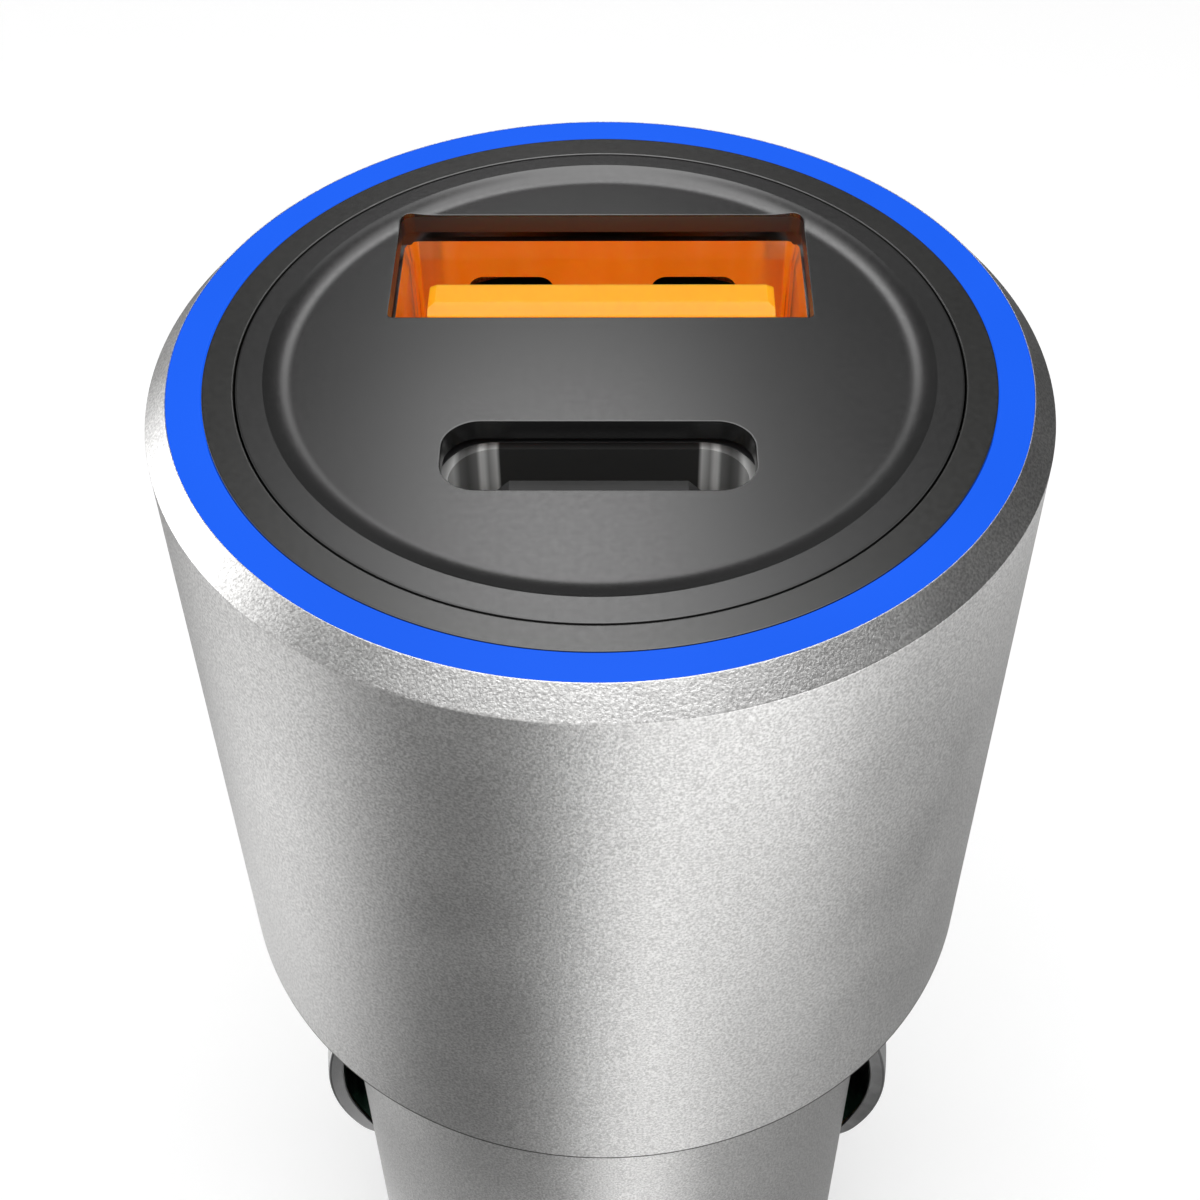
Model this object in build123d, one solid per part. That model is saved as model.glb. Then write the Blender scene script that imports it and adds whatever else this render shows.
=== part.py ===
from build123d import *
import math
import os

# Car charger plug with a USB-A and a USB-C port in a round metal head
# Millimetres, +Z out of the ports, origin at the centre of the head's underside
# The USB-A port lies towards +Y, the USB-C port towards -Y, the side contacts at -X and +X

# USB-A port in the face
USB_A_OPENING_WIDTH = 12.52
USB_A_OPENING_HEIGHT = 5.14
USB_A_OPENING_CORNER = 0.4
USB_A_OPENING_NEAR_CORNER = 0.15
USB_A_CENTRE_Y = 4.85
USB_A_INNER_WIDTH = 12.24
USB_A_INNER_HEIGHT = 4.92
USB_A_SHEET = 0.25
USB_A_INNER_CORNER = 0.35
USB_A_LENGTH = 13.4
USB_A_FLARE = 0.12
USB_A_FLARE_LENGTH = 0.6
USB_A_TONGUE_WIDTH = 10.62
USB_A_TONGUE_THICKNESS = 1.84
USB_A_TONGUE_OFFSET = 0.6
USB_A_TONGUE_FLAT = 0.87
USB_A_TONGUE_BEVEL = 0.42
USB_A_TONGUE_BEVEL_DROP = 0.2
USB_A_TONGUE_NOSE = 1.0
USB_A_TONGUE_END = 0.22
USB_A_TONGUE_END_DROP = 0.1
USB_A_BLOCK_LENGTH = 3.6
USB_A_CONTACT_X = (-3.5, -1.0, 1.0, 3.5)
USB_A_CONTACT_WIDTH = 1.0
USB_A_CONTACT_THICKNESS = 0.15
USB_A_CONTACT_SETBACK = 4.0
USB_A_CONTACT_CROWN = 0.35
USB_A_TAIL_DROP = 1.1
USB_A_WINDOW_X = 2.95
USB_A_WINDOW_WIDTH = 2.5
USB_A_WINDOW_LENGTH = 5.8
USB_A_WINDOW_SETBACK = 1.4
USB_A_WINDOW_CORNER = 0.5
USB_A_FINGER_WIDTH = 1.9
USB_A_FINGER_LENGTH = 4.6
USB_A_FINGER_BOW = 0.35

# USB-C port in the face
USB_C_OPENING_WIDTH = 8.6
USB_C_OPENING_HEIGHT = 2.78
USB_C_CENTRE_Y = -3.74
USB_C_INNER_WIDTH = 8.34
USB_C_INNER_HEIGHT = 2.56
USB_C_SHEET = 0.3
USB_C_LENGTH = 7.35
USB_C_TONGUE_WIDTH = 6.69
USB_C_TONGUE_THICKNESS = 0.7
USB_C_TONGUE_SETBACK = 0.34
USB_C_TONGUE_BEVEL = 0.85
USB_C_BLOCK_LENGTH = 2.6
USB_C_CONTACT_COUNT = 12
USB_C_CONTACT_PITCH = 0.5
USB_C_CONTACT_WIDTH = 0.25
USB_C_CONTACT_THICKNESS = 0.08
USB_C_CONTACT_SETBACK = 0.9
USB_C_TAIL = 0.7

# Connector shells behind the face
SHELL_LEG_WIDTH = 1.4
SHELL_LEG_REACH = 0.4
USB_A_SETBACK = 1.3
USB_C_SETBACK = 1.27

# Head, from the ports outwards
HEAD_HEIGHT = 23.0
PORT_MARGIN = 0.57
BEZEL_JOINT = 0.08
BEZEL_WIDTH = 0.89
RING_JOINT = 0.03
RING_WIDTH = 0.94
RING_DEPTH = 2.1
RIM_LAND = 0.07
RIM_CHAMFER_ACROSS = 0.62
RIM_CHAMFER_DOWN = 0.74
HEAD_WALL = 1.34
SHOULDER_THICKNESS = 1.8
HEAD_UNDER_CHAMFER = 0.3

# Stem that goes into the car socket
STEM_RADIUS = 10.4
STEM_LENGTH = 26.0
STEM_WALL = 1.1
STEM_SEAT_GAP = 0.36
STEM_TAPER = 0.08
STEM_END_CHAMFER = 0.4

# Face plate and its snap tabs
DISH_DEPTH = 0.35
DISH_RIM_LAND = 0.71
DISH_SLOPE_WIDTH = 0.74
PLATE_THICKNESS = 0.64
PLATE_WALL = 0.78
FLANGE_THICKNESS = 1.5
FLANGE_GAP = 0.1
TAB_COUNT = 4
TAB_HALF_ANGLE = 9.0
TAB_THICKNESS = 0.85
TAB_LENGTH = 6.4
HOOK_REACH = 0.3
HOOK_HEIGHT = 1.0
HOOK_LEAD = 0.9
GROOVE_DEPTH = 0.4
GROOVE_CLEARANCE = 0.1
POST_RADIUS = 0.8
POST_PIN_RADIUS = 0.4
POST_PIN_REACH = 0.35
POST_CIRCLE_RADIUS = 8.4
POST_ANGLES = (20, 160, 215, 325)

# Light ring and the board that lights it
LEG_INSET = 0.12
LEG_REACH = 0.2
LEG_HALF_ANGLE = 8.0
LEG_SIDE_GAP = 1.0
LIGHT_ANGLES = (45, 135, 225, 315)
LED_SIZE = (0.8, 1.6, 0.6)
LED_CLEARANCE = 0.15
LED_BOARD_THICKNESS = 0.8
LED_BOARD_EDGE_GAP = 0.15
LED_EAR_HALF_ANGLE = 10.0

# Circuit boards
MAIN_BOARD_THICKNESS = 1.6
MAIN_BOARD_SIDE_GAP = 0.3
MAIN_TAIL_HALF_WIDTH = 6.9
USB_C_BOARD_THICKNESS = 1.0
USB_C_BOARD_HALF_WIDTH = 8.6
USB_C_BOARD_HEIGHT = 5.6
BOARD_TOP_GAP = 0.2
LINK_HEADER_WIDTH = 3.8
LINK_HEADER_HEIGHT = 1.0

# Parts soldered to the boards
POWER_INDUCTOR_WIDTH = 8.0
POWER_INDUCTOR_DEPTH = 3.6
POWER_INDUCTOR_TOP_GAP = 0.55
POWER_INDUCTOR_X = 4.7
INDUCTOR_CORNER = 0.6
FILTER_CHOKE_SIZE = (6.0, 3.0, 6.0)
FILTER_CHOKE_RISE = 4.3
INPUT_CAPACITOR_RADIUS = 2.5
INPUT_CAPACITOR_LENGTH = 10.0
INPUT_CAPACITOR_RISE = 2.9
OUTPUT_CAPACITOR_GAP = 0.65
OUTPUT_CAPACITOR_RADIUS = 2.0
OUTPUT_CAPACITOR_X = 6.2
CAPACITOR_BASE = 0.4
CAPACITOR_LEAD_RADIUS = 0.3
CAPACITOR_LEAD_BEND = 0.4
CAPACITOR_LEAD_PITCH = 2.0
CAPACITOR_EDGE = 0.3
CAPACITOR_BOARD_GAP = 0.1
POWER_CHIP_SIZE = (5.0, 0.9, 5.0)
POWER_CHIP_RISE = 1.5
PORT_CHIP_SIZE = (4.0, 0.8, 4.0)
FUSE_SIZE = (3.2, 1.2, 1.6)
FUSE_RISE = 2.0
CERAMIC_SIZE = (1.6, 0.8, 0.8)
CERAMIC_X = (-4.2, -1.4, 1.4, 4.2)
CERAMIC_RISE = 4.6
COMPONENT_SEAT = 0.3

# Side contacts, bowed out through windows in the stem
CONTACT_CENTRE_RISE = 11.8
CONTACT_APEX_RADIUS = 11.83
CONTACT_THICKNESS = 0.5
CONTACT_HALF_ANGLE = 10.9
CONTACT_CROWN_RADIUS = 8.75
CONTACT_CROWN_TURN = 26.0
CONTACT_SHOULDER_RADIUS = 2.25
CONTACT_LEG_TURN = 70.0
CONTACT_FOOT_BEND = 0.5
CONTACT_FOOT_LENGTH = 1.4
CONTACT_FOOT_GAP = 0.08
WINDOW_SIDE_GAP = 0.21
WINDOW_END_OVERLAP = 0.045
WINDOW_CORNER = 0.4

# Carrier inside the stem
CARRIER_GAP = 0.1
CARRIER_WALL = 1.4
CARRIER_FLANGE_THICKNESS = 1.2
CARRIER_WINDOW_END_GAP = 0.25
CARRIER_WINDOW_SIDE_GAP = 0.36
RAIL_LENGTH = 4.2
RAIL_WIDTH = 0.7
RAIL_GAP = 0.05
GROUND_TAB_WIDTH = 1.2
GROUND_TAB_THICKNESS = 0.3

# Nose, centre tip and its spring
NOSE_PLUG_LENGTH = 3.5
NOSE_PLUG_GAP = 0.08
NOSE_FLANGE_LENGTH = 0.8
NOSE_FLANGE_INSET = 0.15
NOSE_LENGTH = 5.8
NOSE_END_RADIUS = 6.4
NOSE_CAVITY_RADIUS = 4.7
NOSE_FLOOR = 1.6
TIP_RADIUS = 3.4
TIP_SIDE_GAP = 0.15
TIP_REACH = 3.7
TIP_DOME = 1.5
TIP_EDGE_RADIUS = 0.8
TIP_FLANGE_GAP = 0.2
TIP_FLANGE_THICKNESS = 1.0
TIP_PIN_RADIUS = 1.6
TIP_PIN_LENGTH = 3.2
TIP_SEAT_GAP = 0.05
SPRING_WIRE = 0.6
SPRING_RADIUS = 3.3
SPRING_TURNS = 5
SPRING_SEAT_GAP = 0.02
TERMINAL_THICKNESS = 0.6
TERMINAL_OVERLAP = 0.9
TERMINAL_LUG_HALF_WIDTH = 1.5
TERMINAL_LUG_HEIGHT = 3.0
TERMINAL_LUG_THICKNESS = 0.4

# Gap between pieces that are glued, pressed or soldered together
JOINT_GAP = 0.02

# How far a cutting shape reaches past the wall it cuts
CUT_THROUGH = 1.0

# Radii of the head, worked out from the ports outwards
PLATE_RADIUS = (
    math.hypot(USB_A_OPENING_WIDTH / 2, USB_A_CENTRE_Y + USB_A_OPENING_HEIGHT / 2) + PORT_MARGIN
)
BEZEL_INNER = PLATE_RADIUS + BEZEL_JOINT
BEZEL_OUTER = BEZEL_INNER + BEZEL_WIDTH
RING_INNER = BEZEL_OUTER + RING_JOINT
RING_OUTER = RING_INNER + RING_WIDTH
SEAT_RADIUS = RING_OUTER + RING_JOINT
RIM_RADIUS = SEAT_RADIUS + RIM_LAND
HEAD_RADIUS = RIM_RADIUS + RIM_CHAMFER_ACROSS
HEAD_BORE = HEAD_RADIUS - HEAD_WALL
STEM_BORE = STEM_RADIUS - STEM_WALL
FLANGE_RADIUS = HEAD_BORE - FLANGE_GAP
DISH_RIM = PLATE_RADIUS - DISH_RIM_LAND

# Heights in the head
LEDGE_Z = HEAD_HEIGHT - RING_DEPTH
DISH_Z = HEAD_HEIGHT - DISH_DEPTH
PLATE_UNDER_Z = DISH_Z - PLATE_THICKNESS
FLANGE_Z = LEDGE_Z - FLANGE_THICKNESS
TAB_END_Z = FLANGE_Z - TAB_LENGTH
HOOK_TOP_Z = TAB_END_Z + HOOK_LEAD + HOOK_HEIGHT
LEG_END_Z = FLANGE_Z - LEG_REACH
LED_BOARD_TOP_Z = LEG_END_Z - LED_CLEARANCE - LED_SIZE[2]
LED_BOARD_Z = LED_BOARD_TOP_Z - LED_BOARD_THICKNESS
BOARD_TOP_Z = LED_BOARD_Z - BOARD_TOP_GAP
USB_A_FRONT_Z = HEAD_HEIGHT - USB_A_SETBACK
USB_A_BACK_Z = USB_A_FRONT_Z - USB_A_LENGTH
USB_C_FRONT_Z = HEAD_HEIGHT - USB_C_SETBACK
USB_C_BACK_Z = USB_C_FRONT_Z - USB_C_LENGTH
CARRIER_TOP_Z = SHOULDER_THICKNESS + CARRIER_FLANGE_THICKNESS
USB_C_BOARD_Z = BOARD_TOP_Z - USB_C_BOARD_HEIGHT
POWER_INDUCTOR_Z = CARRIER_TOP_Z + COMPONENT_SEAT
POWER_INDUCTOR_TOP_Z = USB_C_BOARD_Z - POWER_INDUCTOR_TOP_GAP

# Heights in the stem and nose
NOSE_TOP_Z = NOSE_PLUG_LENGTH - STEM_LENGTH
NOSE_END_Z = -STEM_LENGTH - NOSE_LENGTH
TIP_SEAT_Z = NOSE_END_Z + NOSE_FLOOR + TIP_SEAT_GAP
TIP_FLANGE_TOP_Z = TIP_SEAT_Z + TIP_FLANGE_THICKNESS
TIP_END_Z = NOSE_END_Z - TIP_REACH
TERMINAL_TOP_Z = NOSE_TOP_Z + TERMINAL_THICKNESS
INPUT_CAPACITOR_Z = TERMINAL_TOP_Z + TERMINAL_LUG_HEIGHT + INPUT_CAPACITOR_RISE
INPUT_CAPACITOR_TOP_Z = INPUT_CAPACITOR_Z + INPUT_CAPACITOR_LENGTH
FUSE_Z = TERMINAL_TOP_Z + FUSE_RISE
FILTER_CHOKE_Z = FUSE_Z + FUSE_SIZE[2] + FILTER_CHOKE_RISE
CERAMIC_Z = FILTER_CHOKE_Z + FILTER_CHOKE_SIZE[2] + CERAMIC_RISE
CONTACT_Z = CONTACT_CENTRE_RISE - STEM_LENGTH

# Places of the boards across the head
MAIN_FACE_Y = USB_A_CENTRE_Y - USB_A_INNER_HEIGHT / 2 - USB_A_SHEET - JOINT_GAP
MAIN_BACK_Y = MAIN_FACE_Y - MAIN_BOARD_THICKNESS
USB_C_FACE_Y = USB_C_CENTRE_Y + USB_C_INNER_HEIGHT / 2 + USB_C_SHEET + JOINT_GAP
USB_C_BOARD_BACK_Y = USB_C_FACE_Y + USB_C_BOARD_THICKNESS
MAIN_HALF_WIDTH = FLANGE_RADIUS - TAB_THICKNESS - MAIN_BOARD_SIDE_GAP
TAB_INNER = FLANGE_RADIUS - TAB_THICKNESS

# Strip of the side contact, from its apex to its feet
CONTACT_FOOT_MIDDLE = STEM_BORE - CONTACT_FOOT_GAP - CONTACT_THICKNESS / 2
CONTACT_APEX_MIDDLE = CONTACT_APEX_RADIUS - CONTACT_THICKNESS / 2


def block(x_span, y_span, z_span):
    """Box between two limits along each axis."""
    size = [abs(span[1] - span[0]) for span in (x_span, y_span, z_span)]
    middle = [(span[0] + span[1]) / 2 for span in (x_span, y_span, z_span)]
    return Pos(*middle) * Box(*size)


def disc(radius, z_low, z_high, x=0.0, y=0.0):
    """Upright cylinder between two heights."""
    return Pos(x, y, (z_low + z_high) / 2) * Cylinder(radius, z_high - z_low)


def turned(points):
    """Solid of revolution of a closed outline of (radius, height) points."""
    return revolve(Plane.XZ * make_face(Polyline(*points, close=True)), Axis.Z)


def sector(points, half_angle, middle_angle):
    """Outline of (radius, height) points turned through part of a circle."""
    face = Plane.XZ * make_face(Polyline(*points, close=True))
    return Rot(0, 0, middle_angle - half_angle) * revolve(face, Axis.Z, 2 * half_angle)


def band(r_low, r_high, z_low, z_high):
    """Rectangular outline for turned and sector."""
    return [(r_low, z_low), (r_high, z_low), (r_high, z_high), (r_low, z_high)]


def rounded_bar(width, height, corner, centre_y, z_low, z_high):
    """Upright bar with a rounded rectangular section."""
    section = Plane.XY.offset(z_low) * Pos(0, centre_y) * RectangleRounded(width, height, corner)
    return extrude(section, z_high - z_low)


def stadium_bar(width, height, centre_y, z_low, z_high):
    """Upright bar whose section is a slot with full round ends."""
    section = Plane.XY.offset(z_low) * Pos(0, centre_y) * SlotOverall(width, height)
    return extrude(section, z_high - z_low)


def around(angles, radius):
    """Points on a circle round the Z axis."""
    return [
        (radius * math.cos(math.radians(a)), radius * math.sin(math.radians(a))) for a in angles
    ]


def soldered(size, x, y_face, side, z_low, corner=0.0):
    """Box-shaped part that stands on a board face, side -1 or +1 along Y, from z_low upwards."""
    y_span = (y_face, y_face + side * size[1])
    body = block((x - size[0] / 2, x + size[0] / 2), y_span, (z_low, z_low + size[2]))
    return fillet(body.edges().filter_by(Axis.Y), corner) if corner else body


def contact_half_height():
    """Height from the side contact's apex to where its foot runs straight."""
    crown, leg = math.radians(CONTACT_CROWN_TURN), math.radians(CONTACT_LEG_TURN)
    rise = (
        CONTACT_CROWN_RADIUS * math.sin(crown)
        + CONTACT_SHOULDER_RADIUS * (math.sin(leg) - math.sin(crown))
        + CONTACT_FOOT_BEND * math.sin(leg)
    )
    return rise + contact_leg_length() * math.cos(leg)


def contact_leg_length():
    """Straight run of the strip that brings its foot to the inside of the stem."""
    crown, leg = math.radians(CONTACT_CROWN_TURN), math.radians(CONTACT_LEG_TURN)
    turned_in = (
        CONTACT_CROWN_RADIUS * (1 - math.cos(crown))
        + CONTACT_SHOULDER_RADIUS * (math.cos(crown) - math.cos(leg))
        + CONTACT_FOOT_BEND * (1 - math.cos(leg))
    )
    return (CONTACT_APEX_MIDDLE - CONTACT_FOOT_MIDDLE - turned_in) / math.sin(leg)


def contact_edge(shift):
    """One face of the bowed strip's upper half, as lines and arcs, shifted from its middle."""
    crown = JernArc(
        (CONTACT_APEX_MIDDLE + shift, 0), (0, 1), CONTACT_CROWN_RADIUS + shift, CONTACT_CROWN_TURN
    )
    shoulder = JernArc(
        crown @ 1,
        crown % 1,
        CONTACT_SHOULDER_RADIUS + shift,
        CONTACT_LEG_TURN - CONTACT_CROWN_TURN,
    )
    leg = Line(shoulder @ 1, shoulder @ 1 + (shoulder % 1) * contact_leg_length())
    bend = JernArc(leg @ 1, leg % 1, CONTACT_FOOT_BEND - shift, -CONTACT_LEG_TURN)
    foot = Line(bend @ 1, bend @ 1 + Vector(0, CONTACT_FOOT_LENGTH))
    return [crown, shoulder, leg, bend, foot]


def side_contact(middle_angle):
    """Bowed spring strip: a round crown, two shoulders and two feet tucked under the stem."""
    outer, inner = contact_edge(CONTACT_THICKNESS / 2), contact_edge(-CONTACT_THICKNESS / 2)
    toe = Line(outer[-1] @ 1, inner[-1] @ 1)
    middle = Line(outer[0] @ 0, inner[0] @ 0)
    half = make_face(outer + [toe] + inner + [middle])
    strip = Plane.XZ * (half + mirror(half, Plane.XZ))
    bow = revolve(strip, Axis.Z, 2 * CONTACT_HALF_ANGLE)
    return Pos(0, 0, CONTACT_Z) * Rot(0, 0, middle_angle - CONTACT_HALF_ANGLE) * bow


def contact_half_width():
    """Half of the side contact's width, across its apex."""
    return CONTACT_APEX_RADIUS * math.sin(math.radians(CONTACT_HALF_ANGLE))


def window_pair(half_width, half_height, reach, corner):
    """Bar that cuts both contact windows, one at each side of the stem."""
    window = RectangleRounded(2 * half_width, 2 * half_height, corner)
    return extrude(Plane.YZ * Pos(0, CONTACT_Z) * window, reach, both=True)


def make_housing():
    """One-piece metal head and stem, turned, with a seat for the rings and two contact windows."""
    groove_top = HOOK_TOP_Z + GROOVE_CLEARANCE
    groove_low = TAB_END_Z
    groove_radius = HEAD_BORE + GROOVE_DEPTH
    stem_end = STEM_RADIUS - STEM_TAPER
    half_height = contact_half_height() - WINDOW_END_OVERLAP
    outline = [
        (STEM_BORE, -STEM_LENGTH),
        (stem_end - STEM_END_CHAMFER, -STEM_LENGTH),
        (stem_end, STEM_END_CHAMFER - STEM_LENGTH),
        (STEM_RADIUS, CONTACT_Z + half_height + STEM_SEAT_GAP),
        (STEM_RADIUS, 0),
        (HEAD_RADIUS - HEAD_UNDER_CHAMFER, 0),
        (HEAD_RADIUS, HEAD_UNDER_CHAMFER),
        (HEAD_RADIUS, HEAD_HEIGHT - RIM_CHAMFER_DOWN),
        (RIM_RADIUS, HEAD_HEIGHT),
        (SEAT_RADIUS, HEAD_HEIGHT),
        (SEAT_RADIUS, LEDGE_Z),
        (HEAD_BORE, LEDGE_Z),
        (HEAD_BORE, groove_top),
        (groove_radius, groove_top),
        (groove_radius, groove_low),
        (HEAD_BORE, groove_low),
        (HEAD_BORE, SHOULDER_THICKNESS),
        (STEM_BORE, SHOULDER_THICKNESS),
    ]
    windows = window_pair(
        contact_half_width() + WINDOW_SIDE_GAP, half_height, STEM_RADIUS + CUT_THROUGH, WINDOW_CORNER
    )
    return turned(outline) - windows


def make_light_ring():
    """Clear ring that glows round the face, with legs that reach down to the lights."""
    ring = turned(band(RING_INNER, RING_OUTER, LEDGE_Z, HEAD_HEIGHT))
    leg = band(BEZEL_INNER, FLANGE_RADIUS, LEG_END_Z, LEDGE_Z)
    for angle in LIGHT_ANGLES:
        ring += sector(leg, LEG_HALF_ANGLE, angle)
    return ring


def make_bezel_ring():
    """Flat black ring between the face plate and the light ring."""
    return turned(band(BEZEL_INNER, BEZEL_OUTER, LEDGE_Z, HEAD_HEIGHT))


def dished_boss():
    """Round boss whose face sinks into a shallow dish along an arc that is level at its floor."""
    floor_edge = DISH_RIM - DISH_SLOPE_WIDTH
    floor = Line((0, DISH_Z), (floor_edge, DISH_Z))
    slope = TangentArc((floor_edge, DISH_Z), (DISH_RIM, HEAD_HEIGHT), tangent=(1, 0))
    rest = Polyline(
        (DISH_RIM, HEAD_HEIGHT), (PLATE_RADIUS, HEAD_HEIGHT), (PLATE_RADIUS, LEDGE_Z),
        (0, LEDGE_Z), (0, DISH_Z),
    )
    return revolve(Plane.XZ * make_face([floor, slope, rest]), Axis.Z)


def snap_tab(angle):
    """Springy tab under the flange with an outward hook that clicks into the head's groove."""
    hook = FLANGE_RADIUS + FLANGE_GAP + HOOK_REACH
    outline = [
        (TAB_INNER, TAB_END_Z),
        (FLANGE_RADIUS, TAB_END_Z),
        (hook, TAB_END_Z + HOOK_LEAD),
        (hook, HOOK_TOP_Z),
        (FLANGE_RADIUS, HOOK_TOP_Z),
        (FLANGE_RADIUS, FLANGE_Z),
        (TAB_INNER, FLANGE_Z),
    ]
    return sector(outline, TAB_HALF_ANGLE, angle)


def make_face_plate():
    """Dished black plate with the two ports, a flange with snap tabs and posts for the board."""
    pocket = PLATE_RADIUS - PLATE_WALL
    plate = dished_boss() + disc(FLANGE_RADIUS, FLANGE_Z, LEDGE_Z)
    plate -= disc(pocket, FLANGE_Z, PLATE_UNDER_Z)
    flare = USB_A_FLARE + USB_A_SHEET + 4 * JOINT_GAP
    plate -= rounded_bar(
        USB_A_INNER_WIDTH + 2 * flare, USB_A_INNER_HEIGHT + 2 * flare,
        USB_A_INNER_CORNER + flare, USB_A_CENTRE_Y, FLANGE_Z, PLATE_UNDER_Z,
    )
    notch = band(BEZEL_INNER - LEG_INSET / 2, FLANGE_RADIUS + CUT_THROUGH, FLANGE_Z, LEDGE_Z)
    for angle in LIGHT_ANGLES:
        plate -= sector(notch, LEG_HALF_ANGLE + LEG_SIDE_GAP, angle)
    for index in range(TAB_COUNT):
        plate += snap_tab(index * 360 / TAB_COUNT)
    for x, y in around(POST_ANGLES, POST_CIRCLE_RADIUS):
        plate += disc(POST_RADIUS, LED_BOARD_TOP_Z, PLATE_UNDER_Z, x, y)
        plate += disc(POST_PIN_RADIUS, LED_BOARD_Z - POST_PIN_REACH, LED_BOARD_TOP_Z, x, y)
    plate -= rounded_bar(
        USB_A_OPENING_WIDTH, USB_A_OPENING_HEIGHT, USB_A_OPENING_CORNER,
        USB_A_CENTRE_Y, PLATE_UNDER_Z, HEAD_HEIGHT,
    )
    near_middle = USB_A_CENTRE_Y - USB_A_OPENING_HEIGHT / 4
    plate -= rounded_bar(
        USB_A_OPENING_WIDTH, USB_A_OPENING_HEIGHT / 2, USB_A_OPENING_NEAR_CORNER,
        near_middle, PLATE_UNDER_Z, HEAD_HEIGHT,
    )
    return plate - stadium_bar(
        USB_C_OPENING_WIDTH, USB_C_OPENING_HEIGHT, USB_C_CENTRE_Y, PLATE_UNDER_Z, HEAD_HEIGHT
    )


def make_led_board():
    """Round board across the head, with an ear for each light and a cut-out for each port."""
    board = disc(TAB_INNER - LED_BOARD_EDGE_GAP, LED_BOARD_Z, LED_BOARD_TOP_Z)
    ear = band(TAB_INNER - 1, FLANGE_RADIUS, LED_BOARD_Z, LED_BOARD_TOP_Z)
    for angle in LIGHT_ANGLES:
        board += sector(ear, LED_EAR_HALF_ANGLE, angle)
    edge = USB_A_SHEET + LED_BOARD_EDGE_GAP
    board -= rounded_bar(
        USB_A_INNER_WIDTH + 2 * edge, USB_A_INNER_HEIGHT + 2 * edge,
        USB_A_INNER_CORNER + edge, USB_A_CENTRE_Y, LED_BOARD_Z, LED_BOARD_TOP_Z,
    )
    edge = USB_C_SHEET + LED_BOARD_EDGE_GAP
    board -= stadium_bar(
        USB_C_INNER_WIDTH + 2 * edge, USB_C_INNER_HEIGHT + 2 * edge,
        USB_C_CENTRE_Y, LED_BOARD_Z, LED_BOARD_TOP_Z,
    )
    for x, y in around(POST_ANGLES, POST_CIRCLE_RADIUS):
        board -= disc(POST_PIN_RADIUS + 2 * JOINT_GAP, LED_BOARD_Z, LED_BOARD_TOP_Z, x, y)
    return board


def make_led(angle):
    """Small light on an ear of its board, under a leg of the light ring."""
    radial, across, height = LED_SIZE
    middle = (BEZEL_INNER + FLANGE_RADIUS) / 2
    body = Pos(middle, 0, LED_BOARD_TOP_Z + height / 2) * Box(radial, across, height)
    return Rot(0, 0, angle) * body


def spring_finger(side):
    """Sheet finger that bows into the shell from the back edge of its window, side -1 or +1."""
    wall = USB_A_INNER_HEIGHT / 2
    root = USB_A_FRONT_Z - USB_A_WINDOW_SETBACK - USB_A_WINDOW_LENGTH
    top = root + USB_A_FINGER_LENGTH
    middle = (root + top) / 2
    inner = ThreePointArc((wall, root), (wall - USB_A_FINGER_BOW, middle), (wall, top))
    outer_bow = wall + USB_A_SHEET - USB_A_FINGER_BOW
    outer = ThreePointArc(
        (wall + USB_A_SHEET, root), (outer_bow, middle), (wall + USB_A_SHEET, top)
    )
    ends = [Line(inner @ 1, outer @ 1), Line(inner @ 0, outer @ 0)]
    profile = make_face([inner, outer] + ends)
    finger = extrude(Plane.YZ * profile, USB_A_FINGER_WIDTH / 2, both=True)
    if side < 0:
        finger = mirror(finger, Plane.XZ)
    return Pos(0, USB_A_CENTRE_Y, 0) * finger


def flared_bar(inset):
    """Inside of the flared shell for inset 0, or its outside for inset equal to the sheet."""
    width, height = USB_A_INNER_WIDTH + 2 * inset, USB_A_INNER_HEIGHT + 2 * inset
    corner = USB_A_INNER_CORNER + inset
    bend_z = USB_A_FRONT_Z - USB_A_FLARE_LENGTH
    straight = rounded_bar(width, height, corner, USB_A_CENTRE_Y, USB_A_BACK_Z, bend_z)
    low = Plane.XY.offset(bend_z) * Pos(0, USB_A_CENTRE_Y)
    high = Plane.XY.offset(USB_A_FRONT_Z) * Pos(0, USB_A_CENTRE_Y)
    mouth = loft([
        low * RectangleRounded(width, height, corner),
        high * RectangleRounded(
            width + 2 * USB_A_FLARE, height + 2 * USB_A_FLARE, corner + USB_A_FLARE
        ),
    ])
    return straight + mouth


def shell_legs(half_width, sheet, face_y, reach, z_middles):
    """Pairs of sheet legs that pass from a connector shell into its board."""
    legs = []
    for z_middle in z_middles:
        z_span = (z_middle - SHELL_LEG_WIDTH / 2, z_middle + SHELL_LEG_WIDTH / 2)
        for side in (-1, 1):
            x_span = (side * (half_width - sheet), side * half_width)
            legs.append(block(x_span, (face_y, reach), z_span))
    return legs


def usb_a_legs(grow=0.0):
    """Legs of the USB-A shell, or the slots for them with a gap all round."""
    half_width = USB_A_INNER_WIDTH / 2 + USB_A_SHEET + grow
    corner_y = USB_A_CENTRE_Y - USB_A_INNER_HEIGHT / 2 + USB_A_INNER_CORNER
    reach = MAIN_BACK_Y - SHELL_LEG_REACH
    middles = (POWER_INDUCTOR_TOP_Z + SHELL_LEG_WIDTH, BOARD_TOP_Z - SHELL_LEG_WIDTH)
    return shell_legs(half_width, USB_A_SHEET + 2 * grow, corner_y, reach, middles)


def usb_c_legs(grow=0.0):
    """Legs of the USB-C shell, or the slots for them with a gap all round."""
    half_width = USB_C_INNER_WIDTH / 2 + USB_C_SHEET + grow
    reach = USB_C_BOARD_BACK_Y + SHELL_LEG_REACH
    middle = (USB_C_BACK_Z + BOARD_TOP_Z) / 2
    return shell_legs(half_width, USB_C_SHEET + 2 * grow, USB_C_CENTRE_Y, reach, (middle,))


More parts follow.
